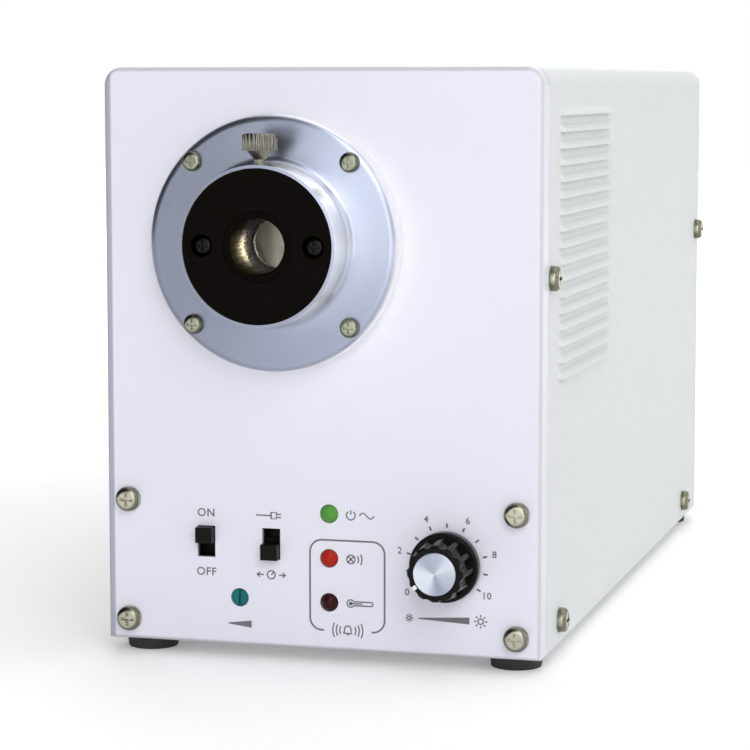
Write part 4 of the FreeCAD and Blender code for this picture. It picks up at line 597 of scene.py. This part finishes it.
def soften(item, width):
    """Round the sharp edges of a piece of the frame, which comes with its faces apart."""
    weld = item.modifiers.new("weld", "WELD")
    weld.merge_threshold = SEAM
    bevel = item.modifiers.new("edge", "BEVEL")
    bevel.width = width * MM
    bevel.segments = 2
    bevel.limit_method = "ANGLE"
    bevel.angle_limit = math.radians(SHARP)
    bevel.harden_normals = True


def finish_frame():
    """Give every piece of the frame its material, and rounded edges where they show."""
    slots = {part["node"]: part["material_slot"] for part in frame["record"]["subparts"]}
    for name, item in NODES.items():
        item.data.materials.clear()
        item.data.materials.append(OWN_FINISH.get(name, MATERIALS[slots[name]]))
        if name in EDGES:
            soften(item, EDGES[name])


# ---------------------------------------------------------------- printed marks

INK_RISE = 0.03 * MM
CAPITAL = 0.70  # height of a capital as a share of the font's size
LETTER_GAP = 1.1
LETTER_WEIGHT = 0.045 * MM
START_AHEAD = 50 * MM  # how far before a face its search for the surface starts


class Print:
    """Flat ink shapes, drawn in millimetres from a point, as someone facing them sees them.

    The face looks along -Y where facing is 1, and along +Y where it is -1.
    """

    def __init__(self, origin, facing=1):
        self.mesh = bmesh.new()
        self.origin = origin
        self.facing = facing

    def point(self, x, z):
        """Where a spot of the drawing lies in the frame, in metres."""
        return self.origin + Vector((self.facing * x, 0, z)) * MM

    def shape(self, points):
        """A filled outline, as a thin plate of ink."""
        back = [self.mesh.verts.new(self.point(x, z)) for x, z in points]
        front = [self.mesh.verts.new(v.co - Vector((0, self.facing * INK_RISE, 0))) for v in back]
        self.mesh.faces.new(front)
        self.mesh.faces.new(back[::-1])
        for index in range(len(points)):
            after = (index + 1) % len(points)
            self.mesh.faces.new((front[index], back[index], back[after], front[after]))

    def line(self, points, width):
        """A ribbon along a row of points, whose corners are cut halfway between both sides."""
        count = len(points)
        left, right = [], []
        for index, (x, z) in enumerate(points):
            ends = [points[max(index - 1, 0)], points[min(index + 1, count - 1)]]
            along = Vector((ends[1][0] - ends[0][0], ends[1][1] - ends[0][1])).normalized()
            side = Vector((-along.y, along.x)) * width / 2
            left.append((x + side.x, z + side.y))
            right.append((x - side.x, z - side.y))
        for index in range(count - 1):
            quad = (left[index], left[index + 1], right[index + 1], right[index])
            self.shape(quad)

    def arc(self, x, z, radius, start, end, width, steps=16):
        """An arc with angles in degrees, counted from +X towards +Z."""
        points = []
        for step in range(steps + 1):
            angle = math.radians(start + (end - start) * step / steps)
            points.append((x + radius * math.cos(angle), z + radius * math.sin(angle)))
        self.line(points, width)

    def disc(self, x, z, radius, steps=16):
        """A filled circle."""
        turns = [2 * math.pi * step / steps for step in range(steps)]
        self.shape([(x + radius * math.cos(a), z + radius * math.sin(a)) for a in turns])

    def words(self, text, x, z, height):
        """Letters or figures centred on a spot."""
        curve = bpy.data.curves.new("letters", "FONT")
        curve.body = text
        curve.align_x, curve.align_y = "CENTER", "CENTER"
        curve.size = height * MM / CAPITAL
        curve.space_character = LETTER_GAP
        curve.extrude = INK_RISE / 2
        curve.offset = LETTER_WEIGHT
        letters = bpy.data.objects.new("letters", curve)
        bpy.context.scene.collection.objects.link(letters)
        letters.rotation_euler.x = math.pi / 2
        letters.location = self.point(x, z) - Vector((0, INK_RISE / 2, 0))
        bpy.context.view_layer.update()
        flat = bpy.data.meshes.new_from_object(letters)
        flat.transform(letters.matrix_world)
        self.mesh.from_mesh(flat)
        bpy.data.objects.remove(letters)
        bpy.data.meshes.remove(flat)

    def lay_on(self, target):
        """Press the drawing along Y onto the surface of a piece of the frame."""
        into = target.matrix_world.inverted()
        ahead = Vector((0, self.facing, 0))
        for vertex in self.mesh.verts:
            rise = vertex.co.y - self.origin.y
            start = vertex.co - ahead * START_AHEAD
            hit, spot, _, _ = target.ray_cast(into @ start, into.to_3x3() @ ahead)
            if hit:
                vertex.co.y = (target.matrix_world @ spot).y + rise

    def piece(self, name, body, finish):
        """Make the drawing an object that moves with a body."""
        mesh = bpy.data.meshes.new(name)
        bmesh.ops.recalc_face_normals(self.mesh, faces=self.mesh.faces)
        self.mesh.to_mesh(mesh)
        self.mesh.free()
        item = bpy.data.objects.new(name, mesh)
        bpy.context.scene.collection.objects.link(item)
        mesh.materials.append(finish)
        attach(item, body)


# Sizes of the marks, in millimetres.
LINE = 0.38
LETTER = 2.2
FRAME_LINE = 0.5
ROCKER_LINE = 0.45
WAVE_SPREAD = 28  # degrees to each side
WAVE_STEPS = 16


def sun(ink, x, z, radius, rays=8):
    """A circle with rays, for light."""
    ink.arc(x, z, radius * 0.5, 0, 360, LINE)
    for ray in range(rays):
        angle = 2 * math.pi * ray / rays
        way = Vector((math.cos(angle), math.sin(angle)))
        start, end = way * radius * 0.8, way * radius * 1.25
        ink.line([(x + start.x, z + start.y), (x + end.x, z + end.y)], LINE)


def waves(ink, x, z, first, side, count=2, pitch=1.0):
    """Arcs that spread from a spot to one side: 1 to the right, -1 to the left."""
    middle_angle = 0 if side > 0 else 180
    for step in range(count):
        reach = first + step * pitch
        start, end = middle_angle - WAVE_SPREAD, middle_angle + WAVE_SPREAD
        ink.arc(x, z, reach, start, end, LINE, steps=6)


def mains_wave(ink, left, z, length, height):
    """One wave of mains current."""
    wave = []
    for step in range(WAVE_STEPS + 1):
        part = step / WAVE_STEPS
        wave.append((left + length * part, z + height * math.sin(2 * math.pi * part)))
    ink.line(wave, LINE)


def power_mark(ink, x, z, radius):
    """The sign for on and off, with a short wave of mains beside it."""
    ink.arc(x, z, radius, 125, 415, LINE)
    ink.line([(x, z + radius * 0.15), (x, z + radius * 1.2)], LINE)
    mains_wave(ink, x + radius * 1.9, z, radius * 3.4, radius * 0.6)


def lamp_mark(ink, x, z, radius):
    """A circle with a cross, as lamps are drawn, and the light that it gives."""
    ink.arc(x, z, radius, 0, 360, LINE)
    reach = radius * math.sqrt(0.5)
    ink.line([(x - reach, z - reach), (x + reach, z + reach)], LINE)
    ink.line([(x - reach, z + reach), (x + reach, z - reach)], LINE)
    waves(ink, x, z, radius * 1.8, 1)


def thermometer(ink, x, z, length):
    """A thermometer on its side, with its bulb to the left."""
    bulb, stem = length * 0.14, length * 0.075
    left, right = x - length / 2 + bulb, x + length / 2 - stem
    ink.arc(left, z, bulb, 35, 325, LINE)
    ink.disc(left, z, bulb * 0.55)
    for side in (-1, 1):
        ink.line([(left + bulb * 0.8, z + side * stem), (right, z + side * stem)], LINE)
    ink.arc(right, z, stem, -90, 90, LINE, steps=8)
    ink.line([(left, z), (x + length * 0.1, z)], LINE)


def bell(ink, x, z, height):
    """A bell that rings to both sides."""
    half = height * 0.36
    top, crown = half * 0.9, height * 0.15
    outline = [(-half * 1.25, -height * 0.3), (-half, -height * 0.1), (-top, crown)]
    turns = [math.radians(angle) for angle in range(160, 0, -20)]
    dome = [(top * math.cos(turn), crown + top * math.sin(turn)) for turn in turns]
    flare = [(-u, w) for u, w in outline[::-1]]
    points = outline + dome + flare
    ink.line([(x + u, z + w) for u, w in points + points[:1]], LINE)
    ink.disc(x, z - height * 0.42, height * 0.1)
    for side in (-1, 1):
        waves(ink, x, z, height * 0.85, side, count=3)


def plug_mark(ink, x, z, size):
    """A plug on a long lead, for control from afar."""
    half = size / 2
    body = [(x, z + half * 0.8), (x, z - half * 0.8), (x + half * 1.4, z - half * 0.8)]
    body += [(x + half * 1.4, z + half * 0.8)]
    ink.line(body + body[:2], LINE)
    for side in (-1, 1):
        level = z + side * half * 0.4
        ink.line([(x + half * 1.4, level), (x + half * 2.6, level)], LINE)
    ink.line([(x - half * 4, z), (x, z)], LINE)


def knob_mark(ink, x, z, radius):
    """A knob seen from the front, with an arrow to each side, for control by hand."""
    ink.arc(x, z, radius, 0, 360, LINE)
    ink.line([(x, z), (x + radius * 0.6, z + radius * 0.6)], LINE)
    for side in (-1, 1):
        start, end = x + side * radius * 1.9, x + side * radius * 3.6
        ink.line([(start, z), (end, z)], LINE)
        barb = end - side * radius * 0.8
        ink.line([(barb, z + radius * 0.6), (end, z), (barb, z - radius * 0.6)], LINE)


def wedge(ink, left, right, z, low, high):
    """A thin wedge from a small to a large amount."""
    below = [(left, z - low / 2), (right, z - high / 2)]
    above = [(right, z + high / 2), (left, z + low / 2)]
    ink.shape(below + above)


# The dial's start and sweep, in degrees from +X towards +Z, and its sizes in millimetres.
DIAL_START = 215.5
DIAL_SWEEP = 251
DIAL_STEPS = 10
TICK_RADIUS = 11.0
TICK_LENGTH = 1.2
TICK_WIDTH = 0.55
FIGURE_RADIUS = 13.7
FIGURE_HEIGHT = 1.8


def dial(ink, x, z):
    """A tick at each step from 0 to 10, and a figure at every second one."""
    for step in range(DIAL_STEPS + 1):
        angle = math.radians(DIAL_START - DIAL_SWEEP * step / DIAL_STEPS)
        way = Vector((math.cos(angle), math.sin(angle)))
        start, end = way * (TICK_RADIUS - TICK_LENGTH / 2), way * (TICK_RADIUS + TICK_LENGTH / 2)
        ink.line([(x + start.x, z + start.y), (x + end.x, z + end.y)], TICK_WIDTH)
        if step % 2 == 0:
            reach = way * FIGURE_RADIUS
            ink.words(str(step), x + reach.x, z + reach.y, FIGURE_HEIGHT)


def rounded_frame(ink, left, right, low, high, radius, gap_start, gap_end):
    """A rounded rectangle that is open along part of its lower side."""
    corners = [
        (right - radius, low + radius, -90),
        (right - radius, high - radius, 0),
        (left + radius, high - radius, 90),
        (left + radius, low + radius, 180),
    ]
    points = [(gap_end, low)]
    for x, z, start in corners:
        for step in range(9):
            angle = math.radians(start + 90 * step / 8)
            points.append((x + radius * math.cos(angle), z + radius * math.sin(angle)))
    points.append((gap_start, low))
    ink.line(points, FRAME_LINE)


# Places of the marks, in millimetres: levels above the panel's lower edge, and distances to the
# side of the piece that a mark belongs to.
ABOVE_LEVERS, BELOW_LEVERS = 36.8, 20.2
TRIMMER_MARK, DIAL_MARK = 6.0, 10.2
TRIMMER_REACH = 3.4
BESIDE_LAMPS = 6.2
SMALL_SUN, LARGE_SUN = -10.5, 9.5
DIAL_WEDGE = (-8, 6.4)
BACK_MARK = 52.0
BACK_WAVE = 5.6
ROCKER_MARK = 4.6
ROCKER_SIZE = 1.3

# The frame around the two alarm lamps, open at the bell, from the middle of the lower edge.
ALARM_FRAME = {"left": -2.7, "right": 18.6, "low": 5.5, "high": 30.7, "radius": 3.4}
ALARM_GAP = {"gap_start": 1.3, "gap_end": 14.9}
ALARM_BELL = (8.1, 5.7)


def print_switches(ink):
    """What the two levers and the trimmer do."""
    power_slide = middle("led_switch_lever").x / MM
    mode_slide = middle("mode_switch_lever").x / MM
    ink.words("ON", power_slide, ABOVE_LEVERS, LETTER)
    ink.words("OFF", power_slide, BELOW_LEVERS, LETTER)
    plug_mark(ink, mode_slide, ABOVE_LEVERS, size=2.2)
    knob_mark(ink, mode_slide, BELOW_LEVERS, radius=1.15)
    trimmer = middle("trimmer_screw").x / MM
    left, right = trimmer - TRIMMER_REACH, trimmer + TRIMMER_REACH
    wedge(ink, left, right, TRIMMER_MARK, low=0.3, high=2.0)


def print_lamps(ink):
    """What the three lamps say, and a frame with a bell around the two alarms."""
    lamps = {name: middle(name) for name in ("power_lamp", "led_alarm_lamp", "temp_alarm_lamp")}
    levels = {name: (spot.z - BASE) / MM for name, spot in lamps.items()}
    beside = lamps["power_lamp"].x / MM + BESIDE_LAMPS
    power_mark(ink, beside, levels["power_lamp"] - 0.2, radius=1.25)
    lamp_mark(ink, beside, levels["led_alarm_lamp"], radius=1.2)
    thermometer(ink, beside + 2.6, levels["temp_alarm_lamp"], length=7.4)
    rounded_frame(ink, **ALARM_FRAME, **ALARM_GAP)
    bell(ink, *ALARM_BELL, height=2.7)


def print_dial(ink):
    """The dimmer's scale, with a wedge from a small sun to a large one below it."""
    x, z = KNOB.x / MM, (KNOB.z - BASE) / MM
    dial(ink, x, z)
    sun(ink, x + SMALL_SUN, DIAL_MARK, radius=0.9)
    sun(ink, x + LARGE_SUN, DIAL_MARK, radius=1.5)
    left, right = DIAL_WEDGE
    wedge(ink, x + left, x + right, DIAL_MARK, low=0.3, high=1.9)


def print_panel():
    """Marks on the front panel, in millimetres from the middle of its lower edge."""
    ink = Print(Vector((0, FACE, BASE)))
    print_switches(ink)
    print_lamps(ink)
    print_dial(ink)
    ink.piece("panel_print", "housing", INK)


def print_back():
    """Marks above the mains inlet and the remote socket, and the two marks on the rocker."""
    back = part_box("rear_panel")[1].y
    ink = Print(Vector((0, back, BASE)), facing=-1)
    inlet, socket = middle("power_inlet_body"), middle("remote_socket_insert")
    mains_wave(ink, -inlet.x / MM - BACK_WAVE / 2, BACK_MARK, BACK_WAVE, height=-0.9)
    plug_mark(ink, -socket.x / MM, BACK_MARK, size=2.6)
    ink.piece("back_print", "housing", INK)

    key = middle("power_switch_key")
    marks = Print(Vector((key.x, back, key.z)), facing=-1)
    ends = [(0, ROCKER_MARK - ROCKER_SIZE), (0, ROCKER_MARK + ROCKER_SIZE)]
    marks.line(ends, ROCKER_LINE)
    marks.arc(0, -ROCKER_MARK, 1.2, 0, 360, ROCKER_LINE)
    marks.lay_on(NODES["power_switch_key"])
    marks.piece("rocker_marks", "power_rocker", MATERIALS["white_inlay"])


# ---------------------------------------------------------------- floor, light and camera

# Half the floor's width in metres, how much it glows near the case and far from it, and the
# distances between which the glow grows.
FLOOR_HALF = 4.0
FLOOR_GLOW = (0.20, 0.9)
FLOOR_FADE = (0.25, 1.2)


def make_floor():
    """A matt white floor that grows as bright as the white background with distance."""
    mesh = bpy.data.meshes.new("floor")
    corners = [(x * FLOOR_HALF, y * FLOOR_HALF, 0) for x, y in ((-1, -1), (1, -1), (1, 1), (-1, 1))]
    mesh.from_pydata(corners, [], [(0, 1, 2, 3)])
    floor = bpy.data.objects.new("floor", mesh)
    bpy.context.scene.collection.objects.link(floor)
    made = material("floor_white", (0.90, 0.90, 0.90), roughness=0.9)
    spot = node(made, "TexCoord").outputs["Object"]
    reach = node(made, "VectorMath", {0: spot}, operation="LENGTH").outputs["Value"]
    lift = between(made, reach, *FLOOR_GLOW, *FLOOR_FADE)
    path = node(made, "LightPath").outputs
    rays = calculate(made, "MAXIMUM", path["Is Camera Ray"], path["Is Glossy Ray"])
    rays = calculate(made, "MAXIMUM", rays, path["Is Transmission Ray"])
    shader_of(made).inputs["Emission Color"].default_value = (1, 1, 1, 1)
    feed(made, "Emission Strength", calculate(made, "MULTIPLY", rays, lift))
    mesh.materials.append(made)


# Where the studio is dark, how light comes and how reflections look from its bright and its dark
# side, and how far towards the dark side the light goes over.
DARK_SIDE = Vector((-0.92, -0.30, 0.25)).normalized()
SOFT_LEVELS = (0.68, 0.10)
SEEN_LEVELS = (1.0, 0.06)
DARK_SPAN = (-0.35, 0.8)


def choose(made, factor, first, second):
    """A number that is the first at factor 0 and the second at 1."""
    low, high = MIX_NUMBERS
    mix = node(made, "Mix", {MIX_FACTOR: factor, low: first, high: second})
    return mix.outputs[MIX_NUMBER_RESULT]


def make_world():
    """A white studio whose left side, as seen from the front, is in shade."""
    world = bpy.data.worlds.new("studio")
    bpy.context.scene.world = world
    world.use_nodes = True
    direction = node(world, "TexCoord").outputs["Generated"]
    toward = node(world, "VectorMath", {0: direction, 1: DARK_SIDE}, operation="DOT_PRODUCT")
    levels = []
    for bright, dark in (SOFT_LEVELS, SEEN_LEVELS):
        inputs = {
            "Value": toward.outputs["Value"],
            "From Min": DARK_SPAN[0],
            "From Max": DARK_SPAN[1],
            "To Min": bright,
            "To Max": dark,
        }
        level = node(world, "MapRange", inputs, interpolation_type="SMOOTHSTEP")
        levels.append(level.outputs["Result"])
    path = node(world, "LightPath").outputs
    seen = choose(world, path["Is Glossy Ray"], *levels)
    clear = calculate(world, "MAXIMUM", path["Is Camera Ray"], path["Is Transmission Ray"])
    background = world.node_tree.nodes["Background"]
    background.inputs["Color"].default_value = (1, 1, 1, 1)
    world.node_tree.links.new(choose(world, clear, seen, 1.0), background.inputs["Strength"])


# Each light's place and size in metres, and its power in watts. All aim at the case.
AIM = (0, 0, 0.09)
LIGHTS = {
    "front_card": ((0.10, -1.45, 0.30), (0.9, 0.7), 3.2),
    "key_light": ((0.7, -1.6, 1.3), (1.2, 1.2), 12),
    "side_light": ((1.8, 0.2, 0.9), (1.2, 1.2), 4.5),
    "top_light": ((0.1, 0.2, 1.9), (1.6, 1.6), 10),
    "back_light": ((-0.7, 1.8, 1.0), (1.4, 1.0), 10),
}


def area_light(name, spot, size, energy):
    """A soft rectangular light that looks at the case."""
    lamp = bpy.data.lights.new(name, "AREA")
    lamp.shape = "RECTANGLE"
    lamp.size, lamp.size_y = size
    lamp.energy = energy
    item = bpy.data.objects.new(name, lamp)
    bpy.context.scene.collection.objects.link(item)
    item.location = spot
    item.rotation_euler = (Vector(AIM) - Vector(spot)).to_track_quat("-Z", "Y").to_euler()


def make_lights():
    """Light the case from the front, the right, above and behind."""
    for name, (spot, size, energy) in LIGHTS.items():
        area_light(name, spot, size, energy)


# The camera's place from the middle of the panel's lower edge, in millimetres, and its aim: degrees
# to the left of straight ahead, and down.
CAMERA_SPOT = (206, -695, 155)
CAMERA_YAW = 15.3
CAMERA_PITCH = 6.2
CAMERA_LENS = 128


def make_camera():
    """A camera where the photograph was taken from."""
    camera = bpy.data.cameras.new("camera")
    item = bpy.data.objects.new("camera", camera)
    bpy.context.scene.collection.objects.link(item)
    bpy.context.scene.camera = item
    camera.sensor_width = 36
    camera.lens = CAMERA_LENS
    camera.clip_start = 0.01
    item.location = Vector((0, FACE, BASE)) + Vector(CAMERA_SPOT) * MM
    yaw, pitch = math.radians(CAMERA_YAW), math.radians(CAMERA_PITCH)
    ahead = Vector(
        (-math.sin(yaw) * math.cos(pitch), math.cos(yaw) * math.cos(pitch), -math.sin(pitch))
    )
    item.rotation_euler = ahead.to_track_quat("-Z", "Y").to_euler()


make_camera()
finish_frame()
print_panel()
print_back()
make_floor()
make_world()
make_lights()
bpy.context.scene.view_settings.view_transform = "Standard"
